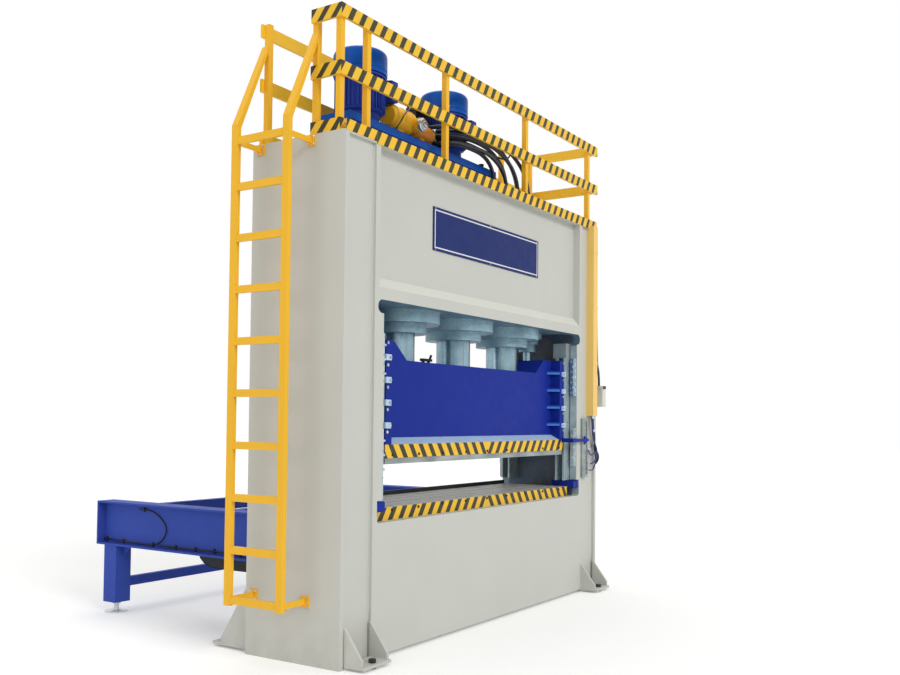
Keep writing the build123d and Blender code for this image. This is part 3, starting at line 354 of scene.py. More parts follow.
# guide channels in steel, with the short adjusting bars in blue and the outer strips painted
def makeGuides():
    look = {"bar": (0.428, 0.458), "strip": (0.458, 0.49), "barsFrom": 2.0, "blue": "#2f6fc0",
            "strips": "#bccbd0", "steel": ("#b9c8cd", "#8fa3ac"), "patch": "#9a9a90", "metal": 0.45}
    s = Shader("guides")
    _, y, z = s.axes()
    depth = s.math("ABSOLUTE", y)
    marks = s.noise(60, 3, (1, 1, 0.06))
    colour = s.mottle(marks, *look["steel"])
    colour = s.mix(s.span(s.noise(4, 5), 0.45, 0.7, 0, 0.5), colour, linear(look["patch"]))
    bars = s.both(s.within(depth, *look["bar"]), s.math("GREATER_THAN", z, look["barsFrom"]))
    colour = s.mix(bars, colour, linear(look["blue"]))
    colour = s.mix(s.within(depth, *look["strip"]), colour, linear(look["strips"]))
    bare = s.math("LESS_THAN", depth, look["bar"][0])
    s.set(s.surface, Base_Color=colour, Metallic=s.both(bare, look["metal"]))
    s.sheen(marks, 0.34, 0.5)
    s.bump(marks, 0.12, 0.0006)
    return s.material


finish["guides"] = makeGuides()
slotOf["guides"] = "machined_steel"

coats = {
    "framePaint": ["column_left", "column_right", "crown_faces", "box_ribs", "crown_deck", "bed_top",
                   "bed_bottom", "feet"],
    "cutPlate": ["face_frame_front", "face_frame_rear"],
    "wallSteel": ["inner_walls"],
    "ceilingSteel": ["crown_floor"],
    "pressBlue": ["ram_body", "ram_end_plates", "ram_gussets", "bolster_end_blocks", "position_arm"],
    "tableBlue": ["table_beams", "table_legs", "table_ties"],
    "ledgeHighlightBlue": ["ram_ledges"],
    "plateNavy": ["nameplate"],
    "motorBlue": ["oil_tank", "tank_cover", "fan_cowls"],
    "castBlue": ["motors", "terminal_boxes", "valve_manifold"],
    "railYellow": ["guard_posts", "ladder_stiles", "ladder_rungs", "pressure_filter"],
    "ductYellow": ["cable_duct"],
    "filterOrange": ["return_filter"],
    "boxBeige": ["switch_box"],
    "blackCasting": ["solenoid_valves", "cable_reel", "drag_chain", "cooling_fan_left", "cooling_fan_right"],
    "hoseRubber": ["pressure_hoses", "control_cables"],
    "machinedSteel": ["upper_platen", "scale_rail"],
    "guides": ["gib_rails"],
    "guideSteel": ["guide_shoes"],
    "flangeSteel": ["main_cylinders", "return_cylinders"],
    "darkSteel": ["bolster_rear_bar", "levelling_screws"],
    "plungerChrome": ["main_plungers", "return_rods"],
    "brightBolt": ["gib_bolts", "shoe_screws", "levelling_feet", "hose_fittings"],
    "railTape": ["guard_rails", "toe_boards"],
    "ramTape": ["ram_base_plate"],
    "bolsterTape": ["bolster_plate"],
}
for coat, names in coats.items():
    for name in names:
        mesh = nodes[name].data
        mesh.materials.clear()
        mesh.materials.append(finish[coat])
print("nodes painted")


# mesh helpers: each adds one form to a mesh under construction

def angles(count, offset=0.0):
    return [math.tau * (i + offset) / count for i in range(count)]


def grid(xs, ys, zs):
    return [(x, y, z) for x in xs for y in ys for z in zs]


def block(form, low, high):
    corners = [form.verts.new(spot) for spot in grid(*zip(low, high))]
    for face in ((0, 1, 3, 2), (4, 6, 7, 5), (0, 4, 5, 1), (2, 3, 7, 6), (0, 2, 6, 4), (1, 5, 7, 3)):
        form.faces.new([corners[i] for i in face])


# a bar turned round an axis through place, with its middle moved outwards by reach
def bar(form, place, size, angle, axis="Z", reach=0.0):
    turn = Matrix.Translation(place) @ Matrix.Rotation(angle, 4, axis) @ Matrix.Translation((reach, 0, 0))
    bmesh.ops.create_cube(form, size=1, matrix=turn @ Matrix.Diagonal((*size, 1)))


# a closed profile of radius and height, turned round an axis through place
def lathe(form, profile, place, axis=(0, 0, 1), sides=32):
    turn = Vector((0, 0, 1)).rotation_difference(Vector(axis)).to_matrix()
    rings = []
    for radius, height in profile:
        ring = [Vector((radius * math.cos(a), radius * math.sin(a), height))
                for a in angles(sides if radius else 1)]
        rings.append([form.verts.new(turn @ spot + Vector(place)) for spot in ring])
    for lower, upper in zip(rings, rings[1:]):
        for i in range(sides):
            around = ((lower, i), (lower, i + 1), (upper, i + 1), (upper, i))
            form.faces.new(list(dict.fromkeys(ring[j % len(ring)] for ring, j in around)))


def drum(form, radius, long, place, axis=(0, 0, 1), sides=32):
    lathe(form, [(0, 0), (radius, 0), (radius, long), (0, long)], place, axis, sides)


def hoop(form, inner, outer, low, high, place, axis=(0, 0, 1), sides=40):
    profile = [(inner, low), (outer, low), (outer, high), (inner, high), (inner, low)]
    lathe(form, profile, place, axis, sides)


# an outline in the two other axes, drawn out along one axis
def prism(form, outline, axis, start, end):
    ends = []
    for along in (start, end):
        spots = [list(point) for point in outline]
        for spot in spots:
            spot.insert(axis, along)
        ends.append([form.verts.new(spot) for spot in spots])
    near, far = ends
    form.faces.new(near)
    form.faces.new(far[::-1])
    for i in range(len(near)):
        form.faces.new([near[i - 1], near[i], far[i], far[i - 1]])


# a hexagon head on its washer
def screw(form, place, axis, size):
    drum(form, size * 1.3, size * 0.25, place, axis, 20)
    head = [(0, size * 0.25), (size, size * 0.25), (size, size * 0.8), (size * 0.82, size), (0, size)]
    lathe(form, head, place, axis, 6)


# a round head with a sunk hexagon
def socket(form, place, axis, size):
    rim = [(0, 0), (size, 0), (size, size * 0.35), (size * 0.88, size * 0.5), (size * 0.5, size * 0.5),
           (size * 0.5, size * 0.12), (0, size * 0.12)]
    lathe(form, rim, place, axis, 24)


def settle(made, body):
    link(made)
    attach(made, body)
    return made


def shape(name, form, coat, bevel=0.0, body="frame", replaced=()):
    bmesh.ops.recalc_face_normals(form, faces=form.faces)
    mesh = bpy.data.meshes.new(name)
    form.to_mesh(mesh)
    form.free()
    for face in mesh.polygons:
        face.use_smooth = True
    mesh.set_sharp_from_angle(angle=math.radians(35))
    mesh.materials.append(finish[coat])
    made = bpy.data.objects.new(name, mesh)
    settle(made, body)
    if bevel:
        edge = made.modifiers.new("edge", "BEVEL")
        edge.width, edge.segments, edge.limit_method = bevel, 2, "ANGLE"
    if replaced:
        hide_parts(*replaced)


def cable(name, route, radius, coat, body="frame"):
    data = bpy.data.curves.new(name, "CURVE")
    data.dimensions = "3D"
    data.bevel_depth = radius
    data.bevel_resolution = 4
    data.resolution_u = 10
    data.use_fill_caps = True
    line = data.splines.new("NURBS")
    line.points.add(len(route) - 1)
    for point, place in zip(line.points, route):
        point.co = (*place, 1)
    line.order_u = 3
    line.use_endpoint_u = True
    data.materials.append(finish[coat])
    return settle(bpy.data.objects.new(name, data), body)


# hoses from the manifold down through the deck, with the length along each and its route
hoses = {
    "radius": 0.02,
    "runs": {
        "front_low": (1.284, (
            (-0.515, -0.07, 4.555), (-0.515, -0.27, 4.555), (-0.18, -0.274, 4.6),
            (0.18, -0.262, 4.59), (0.38, -0.24, 4.45), (0.38, -0.24, 4.25))),
        "back_low": (1.504, (
            (-0.585, -0.07, 4.555), (-0.585, -0.332, 4.555), (-0.25, -0.336, 4.585),
            (0.16, -0.33, 4.6), (0.5, -0.32, 4.45), (0.5, -0.32, 4.25))),
        "front_middle": (1.569, (
            (-0.515, -0.07, 4.625), (-0.515, -0.268, 4.625), (-0.15, -0.272, 4.69),
            (0.3, -0.262, 4.68), (0.62, -0.25, 4.5), (0.62, -0.25, 4.25))),
        "back_middle": (1.796, (
            (-0.585, -0.07, 4.625), (-0.585, -0.332, 4.625), (-0.22, -0.338, 4.665),
            (0.3, -0.334, 4.69), (0.74, -0.322, 4.5), (0.74, -0.322, 4.25))),
        "front_high": (1.839, (
            (-0.515, -0.07, 4.695), (-0.515, -0.266, 4.695), (-0.12, -0.27, 4.76),
            (0.4, -0.262, 4.775), (0.86, -0.25, 4.52), (0.86, -0.25, 4.25))),
        "back_high": (2.14, (
            (-0.655, -0.07, 4.695), (-0.655, -0.33, 4.695), (-0.2, -0.338, 4.735),
            (0.45, -0.334, 4.765), (0.98, -0.32, 4.53), (0.98, -0.32, 4.25))),
    },
}


def makeHoses():
    radius = hoses["radius"]
    for name, (length, route) in hoses["runs"].items():
        hose = cable("hose_" + name, route, radius, "hoseRubber")
        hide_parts("pressure_hoses")


makeHoses()


# control cables beside the duct, to the switch box

def makeControlCables():
    pair = {"radius": 0.009, "apart": 0.011, "length": 1.872, "depth": -0.5043,
            "route": ((2.3175, 4.2), (2.3175, 2.645), (2.4045, 2.495), (2.4045, 2.345))}
    for name, side in (("near", -1), ("far", 1)):
        route = [(x + side * pair["apart"], pair["depth"], z) for x, z in pair["route"]]
        run = cable("control_cable_" + name, route, pair["radius"], "hoseRubber")
        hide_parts("control_cables")


makeControlCables()
print("hoses and cables laid")


# swaged ends on the hoses: nut and crimp at the manifold, a longer sleeve at the deck

def makeHoseEnds():
    ends = {"nut": 0.031, "nutLong": 0.03, "nutFace": -0.032, "crimp": 0.027, "crimpFace": -0.06,
            "deckFace": 4.205}
    r = ends["crimp"]
    crimp = [(0, 0), (r * 0.8, 0), (r * 0.8, 0.012), (r, 0.016), (r, 0.05), (r * 0.86, 0.056), (0, 0.056)]
    sleeve = [(0, 0), (r * 1.3, 0), (r * 1.3, 0.028), (r * 1.1, 0.034), (r, 0.05), (r, 0.09),
              (r * 0.86, 0.096), (0, 0.096)]
    form = bmesh.new()
    for _, route in hoses["runs"].values():
        x, _, z = route[0]
        drum(form, ends["nut"], ends["nutLong"], (x, ends["nutFace"], z), (0, -1, 0), 6)
        lathe(form, crimp, (x, ends["crimpFace"], z), (0, -1, 0), 24)
        x, y, _ = route[-1]
        lathe(form, sleeve, (x, y, ends["deckFace"]), (0, 0, 1), 24)
    shape("hose_ends", form, "brightBolt", 0.0015)


makeHoseEnds()


# motors: rounded sheet cowls with a ring grille
motorAxes = (-1.55, -0.21)
cowl = {"radius": 0.238, "low": 4.925, "high": 5.14, "shoulder": 0.045, "sheet": 0.004, "seam": 4.97,
        "rings": (0.05, 0.085, 0.12, 0.155), "wire": 0.0035, "spokes": 8, "spokeWide": 0.007,
        "spokeHigh": 0.008, "hub": 0.045, "roundSteps": 6}


def makeCowls():
    r, low, soft, sheet = (cowl[key] for key in ("radius", "low", "shoulder", "sheet"))
    top, grille = cowl["high"] - sheet, cowl["high"] - 0.01
    outer = [(r, low), (r, low + 0.03), (r - sheet, low + 0.034), (r - sheet, low + 0.04), (r, low + 0.044)]
    for i in range(cowl["roundSteps"] + 1):
        angle = math.pi / 2 * i / cowl["roundSteps"]
        outer.append((r - soft + soft * math.cos(angle), top - soft + soft * math.sin(angle)))
    inner = [(radius - sheet, min(height, top - sheet)) for radius, height in outer[::-1]]
    reach = r - soft + sheet
    form = bmesh.new()
    for x in motorAxes:
        lathe(form, outer + inner + [outer[0]], (x, 0, 0), sides=48)
        for radius in cowl["rings"]:
            hoop(form, radius - cowl["wire"], radius + cowl["wire"], grille, top, (x, 0, 0))
        for angle in angles(cowl["spokes"]):
            size = (reach, cowl["spokeWide"], cowl["spokeHigh"])
            bar(form, (x, 0, cowl["high"] - 0.009), size, angle, reach=reach / 2)
        lathe(form, [(0, 0), (cowl["hub"], 0), (cowl["hub"], 0.006), (0, 0.01)], (x, 0, grille))
    shape("fan_cowl_shells", form, "motorBlue", replaced=("fan_cowls",))


makeCowls()


# cooling fins down the motor's body, with a ring above them

def makeFins():
    fins = {"count": 40, "low": 4.615, "high": 4.895, "inner": 0.2, "outer": 0.224, "thick": 0.0045,
            "ring": 0.23, "ringLow": 4.9, "ringHigh": 4.918}
    size = (fins["outer"] - fins["inner"], fins["thick"], fins["high"] - fins["low"])
    middle = (fins["inner"] + fins["outer"]) / 2
    form = bmesh.new()
    for x in motorAxes:
        for angle in angles(fins["count"], 0.5):
            if abs(math.sin(angle)) < 0.4 and math.cos(angle) > 0:
                continue  # the terminal box stands there
            bar(form, (x, 0, (fins["low"] + fins["high"]) / 2), size, angle, reach=middle)
        hoop(form, fins["inner"], fins["ring"], fins["ringLow"], fins["ringHigh"], (x, 0, 0))
    shape("motor_fins", form, "castBlue")


makeFins()


# hooded covers in front of the terminal boxes, a door on each, and the boxes' side lids

def makeTerminalCovers():
    cover = {
        "near": 0.2, "far": 0.292, "margin": 0.01,
        "outline": ((-0.064, 4.915), (-0.1, 4.915), (-0.104, 4.942), (-0.2, 4.928), (-0.2, 4.745),
                    (-0.064, 4.745)),
        "doorLow": (-0.207, 4.76), "doorHigh": (-0.199, 4.915),
        "lidFace": 0.295, "lidOut": 0.305, "lidLow": (-0.07, 4.73), "lidHigh": (0.07, 4.87),
    }
    form = bmesh.new()
    for x in motorAxes:
        near, far = x + cover["near"], x + cover["far"]
        prism(form, cover["outline"], 0, near, far)
        block(form, (near + cover["margin"], *cover["doorLow"]), (far - cover["margin"], *cover["doorHigh"]))
        block(form, (x + cover["lidFace"], *cover["lidLow"]), (x + cover["lidOut"], *cover["lidHigh"]))
    shape("terminal_covers", form, "castBlue", 0.004)


makeTerminalCovers()


# screws on the side lids, the motor's foot flange and the cowl's seam

def makeMotorScrews():
    screws = {
        "lidFace": 0.305, "lidY": (-0.055, 0.055), "lidZ": (4.745, 4.855), "lidSize": 0.007,
        "flangeCount": 8, "flangeRadius": 0.158, "flangeTop": 4.531, "flangeSize": 0.011,
        "cowlCount": 4, "cowlRadius": 0.237, "cowlSize": 0.007,
    }
    form = bmesh.new()
    for x in motorAxes:
        for place in grid([x + screws["lidFace"]], screws["lidY"], screws["lidZ"]):
            socket(form, place, (1, 0, 0), screws["lidSize"])
        for angle in angles(screws["flangeCount"], 0.5):
            away = Vector((math.cos(angle), math.sin(angle), 0)) * screws["flangeRadius"]
            screw(form, away + Vector((x, 0, screws["flangeTop"])), (0, 0, 1), screws["flangeSize"])
        for angle in angles(screws["cowlCount"], 0.5):
            side = Vector((math.cos(angle), math.sin(angle), 0))
            place = side * screws["cowlRadius"] + Vector((x, 0, cowl["seam"]))
            screw(form, place, side, screws["cowlSize"])
    shape("motor_screws", form, "brightBolt")


makeMotorScrews()
print("motors dressed")


# plugs on the valve coils, the plates under them and the connectors in front

def makeValvePlugs():
    valves = {
        "places": (-0.72, -0.62, -0.52), "coils": (-0.025, 0.075), "top": 4.87,
        "plug": (0.016, 0.014), "pin": 0.009, "pinLong": 0.02,
        "plateHalf": 0.034, "plateLow": (-0.012, 4.72), "plateHigh": (0.092, 4.745),
        "endPlate": ((-0.79, -0.05, 4.74), (-0.765, 0.11, 4.86)),
        "connectors": ((-0.74, 4.89), (-0.66, 4.905), (-0.6, 4.895)), "connectorHalf": 0.022,
    }
    top, (halfX, halfY) = valves["top"], valves["plug"]
    form = bmesh.new()
    for x in valves["places"]:
        block(form, (x - valves["plateHalf"], *valves["plateLow"]),
              (x + valves["plateHalf"], *valves["plateHigh"]))
        for y in valves["coils"]:
            block(form, (x - halfX, y - halfY, top - 0.01), (x + halfX, y + halfY, top + 0.028))
            drum(form, valves["pin"], valves["pinLong"], (x, y, top + 0.026), sides=12)
    block(form, *valves["endPlate"])
    for x, z in valves["connectors"]:
        half = valves["connectorHalf"]
        block(form, (x - half, -0.06, z - 0.05), (x + half, -0.02, z + 0.01))
    shape("valve_plugs", form, "blackCasting", 0.003)


makeValvePlugs()


# round cover on the front of the filter, its bolts and the neck that carries it

def makeFilterCover():
    cover = {"place": (-0.99, -0.262, 4.61), "radius": 0.062, "bolts": 6, "boltRing": 0.68, "neck": 0.066,
             "neckLong": 0.08, "throat": 0.05, "wholeLong": 0.11}
    (x, y, z), r = cover["place"], cover["radius"]
    form = bmesh.new()
    face = [(0, -0.08), (r * 0.72, -0.08), (r * 0.72, 0), (r, 0.004), (r, 0.03), (r * 0.86, 0.036),
            (r * 0.8, 0.044), (r * 0.5, 0.046), (r * 0.46, 0.06), (0, 0.062)]
    lathe(form, face, cover["place"], (0, -1, 0), 40)
    for angle in angles(cover["bolts"]):
        ring = r * cover["boltRing"]
        place = (x + ring * math.cos(angle), y - 0.042, z + ring * math.sin(angle))
        screw(form, place, (0, -1, 0), 0.006)
    shape("filter_cover", form, "brightBolt", 0.001)

    neck = [(0, 0), (cover["neck"], 0), (cover["neck"], cover["neckLong"]),
            (cover["throat"], cover["wholeLong"]), (0, cover["wholeLong"])]
    form = bmesh.new()
    lathe(form, neck, cover["place"], (0, 1, 0))
    shape("filter_neck", form, "railYellow", 0.002)


makeFilterCover()


# clamping bands round the large filter

def makeFilterBands():
    bands = {"places": (-1.27, -1.15, -1.03), "inner": 0.102, "outer": 0.109, "half": 0.008,
             "axisY": -0.12, "axisZ": 4.64}
    form = bmesh.new()
    for x in bands["places"]:
        hoop(form, bands["inner"], bands["outer"], -bands["half"], bands["half"],
             (x, bands["axisY"], bands["axisZ"]), (1, 0, 0), 48)
    shape("filter_bands", form, "railYellow", 0.001)


makeFilterBands()


def makeLidScrews():
    lid = {"pitch": 0.11, "left": -1.9, "right": 0.47, "edge": 0.178, "top": 4.51, "size": 0.007}
    form = bmesh.new()
    long = lid["right"] - lid["left"]
    count = int(long / lid["pitch"])
    row = [lid["left"] + i * long / count for i in range(count + 1)]
    for place in grid(row, (-lid["edge"], lid["edge"]), [lid["top"]]):
        screw(form, place, (0, 0, 1), lid["size"])
    shape("lid_screws", form, "brightBolt")


makeLidScrews()


# breather and filler on the tank's lid, level gauge on its front

def makeBreatherAndGauge():
    tank = {"breather": (0.25, 0.05, 4.51), "filler": (0.38, -0.08, 4.51),
            "gauge": ((-1.72, -0.192, 4.24), (-1.69, -0.174, 4.42))}
    form = bmesh.new()
    lathe(form, [(0, 0), (0.03, 0), (0.03, 0.02), (0.045, 0.025), (0.045, 0.06), (0.035, 0.072), (0, 0.076)],
          tank["breather"])
    lathe(form, [(0, 0), (0.02, 0), (0.02, 0.05), (0.028, 0.055), (0.028, 0.075), (0, 0.078)], tank["filler"])
    block(form, *tank["gauge"])
    shape("breather_and_gauge", form, "blackCasting", 0.002)


makeBreatherAndGauge()


# thin lines on the power unit: radius and route

def makeThinLines():
    lines = {
        "sensor_line": (0.006, (
            (-1.27, -0.185, 4.51), (-1.27, -0.2, 4.53), (-1.265, -0.245, 4.58), (-1.22, -0.25, 4.66),
            (-1.1, -0.23, 4.745), (-0.95, -0.17, 4.8), (-0.8, -0.07, 4.85), (-0.75, -0.045, 4.87))),
        "coil_line_left": (0.005, (
            (-0.72, -0.025, 4.9), (-0.72, -0.03, 4.95), (-0.64, -0.05, 4.96), (-0.5, -0.08, 4.86),
            (-0.42, -0.1, 4.7), (-0.42, -0.12, 4.52))),
        "coil_line_right": (0.005, (
            (-0.52, 0.075, 4.9), (-0.52, 0.07, 4.94), (-0.46, 0.05, 4.93), (-0.4, 0.0, 4.8),
            (-0.4, -0.02, 4.52))),
        "pilot_line": (0.009, (
            (-0.47, 0.0, 4.66), (-0.3, -0.24, 4.66), (0.1, -0.3, 4.62), (0.5, -0.29, 4.62),
            (0.66, -0.28, 4.72), (0.56, -0.29, 4.82), (0.3, -0.3, 4.8), (0.02, -0.3, 4.72))),
    }
    for name, (radius, route) in lines.items():
        cable(name, route, radius, "hoseRubber")


makeThinLines()
print("power unit dressed")


# screws along the striped edges of the ram's base plate and the bolster

def makeEdgeSockets():
    edge = {"first": -1.56, "pitch": 0.39, "count": 9, "size": 0.013, "face": 0.404,
            "rows": (("ram_sockets", "ram", 1.632), ("bolster_sockets", "bolster", 1.172))}
    for name, body, z in edge["rows"]:
        form = bmesh.new()
        for side in (-1, 1):
            for i in range(edge["count"]):
                place = (edge["first"] + i * edge["pitch"], side * edge["face"], z)
                socket(form, place, (0, side, 0), edge["size"])
        shape(name, form, "blackCasting", body=body)


makeEdgeSockets()


# lugs bolted to the ram's end plates, in the ledges' pale blue, which is a painted highlight
lugs = {"heights": (1.88, 2.07, 2.26, 2.45), "inner": 1.61, "outer": 1.685, "half": 0.026, "proud": 0.022,
        "face": 0.405, "boltPlace": 1.63, "boltSize": 0.011}
ramCorners = grid((-1, 1), (-1, 1), lugs["heights"])  # side, end, height


def makeLugs():
    form, heads = bmesh.new(), bmesh.new()
    front = lugs["face"] + lugs["proud"]
    for side, end, z in ramCorners:
        x = sorted((end * lugs["inner"], end * lugs["outer"]))
        y = sorted((side * (lugs["face"] - 0.0005), side * front))
        block(form, (x[0], y[0], z - lugs["half"]), (x[1], y[1], z + lugs["half"]))
        screw(heads, (end * lugs["boltPlace"], side * front, z), (0, side, 0), lugs["boltSize"])
    shape("ram_lugs", form, "ledgeHighlightBlue", 0.004, "ram")
    shape("ram_lug_bolts", heads, "brightBolt", body="ram")


makeLugs()


# painted highlight: brighter blue strips along the corner ribs' slanted fronts, standing in for light caught
# on their edges

def makeRibHighlights():
    rib = {"inner": (1.4795, 0.2945), "outer": (1.5735, 0.4045), "proud": 0.002, "under": 0.004,
           "over": 0.0195}
    (innerX, innerY), (outerX, outerY) = rib["inner"], rib["outer"]
    form = bmesh.new()
    for side, end, z in ramCorners:
        tips = ((end * innerX, side * innerY), (end * outerX, side * outerY),
                (end * outerX, side * (outerY + rib["proud"])),
                (end * (innerX - 0.001), side * (innerY + rib["proud"])))
        prism(form, tips, 2, z - rib["under"], z + rib["over"])
    shape("ram_rib_highlights", form, "ribHighlightBlue", body="ram")


makeRibHighlights()


def makeGreaseBlock():
    grease = {"feet": (-0.53, -0.44), "top": 2.45, "body": ((-0.56, -0.02, 2.49), (-0.4, 0.02, 2.515)),
              "lever": (-0.42, 0, 2.51), "leverLean": (0.5, 0, 0.8), "leverLong": 0.05}
    form = bmesh.new()
    for x in grease["feet"]:
        foot = [(0, 0), (0.016, 0), (0.016, 0.05), (0.01, 0.055), (0, 0.055)]
        lathe(form, foot, (x, 0, grease["top"]), sides=16)
    block(form, *grease["body"])
    drum(form, 0.012, grease["leverLong"], grease["lever"], grease["leverLean"], 12)
    shape("grease_block", form, "blackCasting", 0.002, "ram")


makeGreaseBlock()
print("ram dressed")


# rows of heads down the outer strips of the guides

def makeStripScrews():
    strips = {"x": 1.806, "face": 0.4845, "starts": (1.455, 2.242), "pitch": 0.0725, "count": 6,
              "size": 0.008}
    form = bmesh.new()
    heights = [start + i * strips["pitch"] for start in strips["starts"] for i in range(strips["count"])]
    for side in (-1, 1):
        for place in grid((-strips["x"], strips["x"]), [side * strips["face"]], heights):
            screw(form, place, (0, side, 0), strips["size"])
    shape("strip_screws", form, "brightBolt")


makeStripScrews()


# plain border and screws on the nameplate

def makeNameplateTrim():
    plate = {"halfWidth": 1.005, "low": 3.4525, "high": 3.8475, "face": -0.423, "inset": 0.022, "wide": 0.012,
             "screwX": (-0.97, 0, 0.97), "screwZ": (3.463, 3.837), "screwSize": 0.007}
    inset, wide = plate["inset"], plate["wide"]
    x, low, high = plate["halfWidth"] - inset, plate["low"] + inset, plate["high"] - inset
    front, back = plate["face"] - 0.002, plate["face"] + 0.001
    form = bmesh.new()
    block(form, (-x, front, low), (x, back, low + wide))
    block(form, (-x, front, high - wide), (x, back, high))
    block(form, (-x, front, low + wide), (-x + wide, back, high - wide))
    block(form, (x - wide, front, low + wide), (x, back, high - wide))
    shape("nameplate_border", form, "borderWhite")
    form = bmesh.new()
    for place in grid(plate["screwX"], [plate["face"]], plate["screwZ"]):
        socket(form, place, (0, -1, 0), plate["screwSize"])
    shape("nameplate_screws", form, "brightBolt")


makeNameplateTrim()


# striped angle along the deck's front edge, in two lengths: left end, right end, lower edge

def makeToeSkirt():
    skirt = {"lengths": ((-2.34, -1.947, 4.188), (-1.945, 2.34, 4.172)), "high": 4.279, "thick": 0.004,
             "deck": 4.2, "board": -0.436}
    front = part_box("crown_deck")[0].y
    face, top = front - skirt["thick"], skirt["deck"] + skirt["thick"]
    form = bmesh.new()
    for left, right, low in skirt["lengths"]:
        outline = ((face, low), (front, low), (front, skirt["deck"]), (skirt["board"], skirt["deck"]),
                   (skirt["board"], top), (front, top), (front, skirt["high"]), (face, skirt["high"]))
        prism(form, outline, 0, left, right)
    shape("toe_skirt", form, "railTape", 0.0008)


makeToeSkirt()
print("crown front dressed")


# rear table: cables clipped to the outside of its left beam

def makeTableCables():
    table = {
        "face": -1.797, "radius": 0.007, "away": 0.009, "clipHalf": 0.012,
        "loop": ((2.476, 1.024), (2.331, 1.028), (2.186, 0.979), (2.074, 0.874), (2.109, 0.774),
                 (2.197, 0.711), (2.32, 0.695), (2.614, 0.697), (2.826, 0.706), (3.0, 0.71)),
        "run": ((2.197, 0.702), (1.9, 0.695), (1.681, 0.698), (1.434, 0.704), (1.0, 0.7), (0.53, 0.7)),
        "clips": ((2.4, 1.026), (2.27, 0.7), (2.7, 0.7), (2.95, 0.709), (1.95, 0.696), (1.68, 0.698),
                  (1.434, 0.703), (1.1, 0.7), (0.75, 0.7)),
    }
    face, half = table["face"], table["clipHalf"]
    for name in ("loop", "run"):
        route = [(face - table["away"], y, z) for y, z in table[name]]
        cable("table_cable_" + name, route, table["radius"], "hoseRubber")
    form = bmesh.new()
    for y, z in table["clips"]:
        block(form, (face - 0.02, y - half, z - 0.02), (face + 0.001, y + half, z + 0.02))
    shape("table_cable_clips", form, "blackCasting", 0.003)


makeTableCables()


# small webs between the table's beams and legs

def makeTableCorners():
    web = {"middle": 1.79, "half": 0.006, "top": 0.661, "lip": 0.648, "low": 0.56,
           "sides": ((2.7155, -0.11), (2.8945, 0.1))}
    form = bmesh.new()
    for side in (-1, 1):
        for start, away in web["sides"]:
            outline = ((start, web["top"]), (start + away, web["top"]), (start + away, web["lip"]),
                       (start, web["low"]))
            prism(form, outline, 0, side * web["middle"] - web["half"], side * web["middle"] + web["half"])
    shape("table_corner_plates", form, "tableBlue", 0.001)


makeTableCorners()


# trough under the drag chain, hung from three straps

def makeTrough():
    trough = {"left": -1.66, "right": -1.53, "wall": 0.006, "top": 0.655, "start": 0.6,
              "straps": (0.8, 1.3, 1.7), "strapLow": (-1.7, 0.648), "strapHigh": (-1.52, 0.661),
              "strapHalf": 0.02}
    wall, top = trough["wall"], trough["top"]
    curve = [(trough["start"], 0.52), (1.5, 0.515), (1.64, 0.525), (1.72, 0.55), (1.775, 0.595), (1.8, top)]
    form = bmesh.new()
    for x in (trough["left"], trough["right"] - wall):
        prism(form, [(trough["start"], top)] + curve, 0, x, x + wall)
    lining = [(y - 0.004, z + wall) for y, z in curve[::-1]]
    prism(form, curve + lining, 0, trough["left"], trough["right"])
    (lowX, lowZ), (highX, highZ) = trough["strapLow"], trough["strapHigh"]
    for y in trough["straps"]:
        block(form, (lowX, y - trough["strapHalf"], lowZ), (highX, y + trough["strapHalf"], highZ))
    shape("chain_trough", form, "blackCasting", 0.001)


makeTrough()
print("rear table dressed")


# right column: cables from the scale and from the duct

def makeColumnCables():
    lines = {
        "scale_cable_low": (0.008, "cableBlue", (
            (2.075, -0.523, 1.61), (2.08, -0.53, 1.57), (2.14, -0.535, 1.53), (2.22, -0.535, 1.58),
            (2.27, -0.53, 1.5), (2.23, -0.53, 1.4), (2.15, -0.53, 1.35), (2.075, -0.523, 1.385))),
        "scale_cable_loop": (0.008, "cableBlue", (
            (2.08, -0.523, 1.45), (2.16, -0.535, 1.43), (2.27, -0.535, 1.5), (2.3, -0.53, 1.6),
            (2.24, -0.525, 1.68), (2.19, -0.52, 1.8), (2.19, -0.51, 1.99))),
        "duct_cable": (0.014, "hoseRubber", (
            (2.21, -0.51, 1.995), (2.21, -0.512, 1.9), (2.25, -0.512, 1.8), (2.27, -0.512, 1.68),
            (2.31, -0.505, 1.58), (2.34, -0.46, 1.53), (2.35, -0.42, 1.51))),
        "duct_side_cable": (0.009, "hoseRubber", (
            (2.262, -0.505, 4.19), (2.262, -0.505, 3.6), (2.258, -0.505, 2.9), (2.262, -0.505, 2.4),
            (2.255, -0.505, 2.05), (2.23, -0.51, 1.95), (2.235, -0.51, 1.85))),
    }
    for name, (radius, coat, route) in lines.items():
        cable(name, route, radius, coat)


makeColumnCables()


# glands for those cables, and the screws of the scale and the switch box

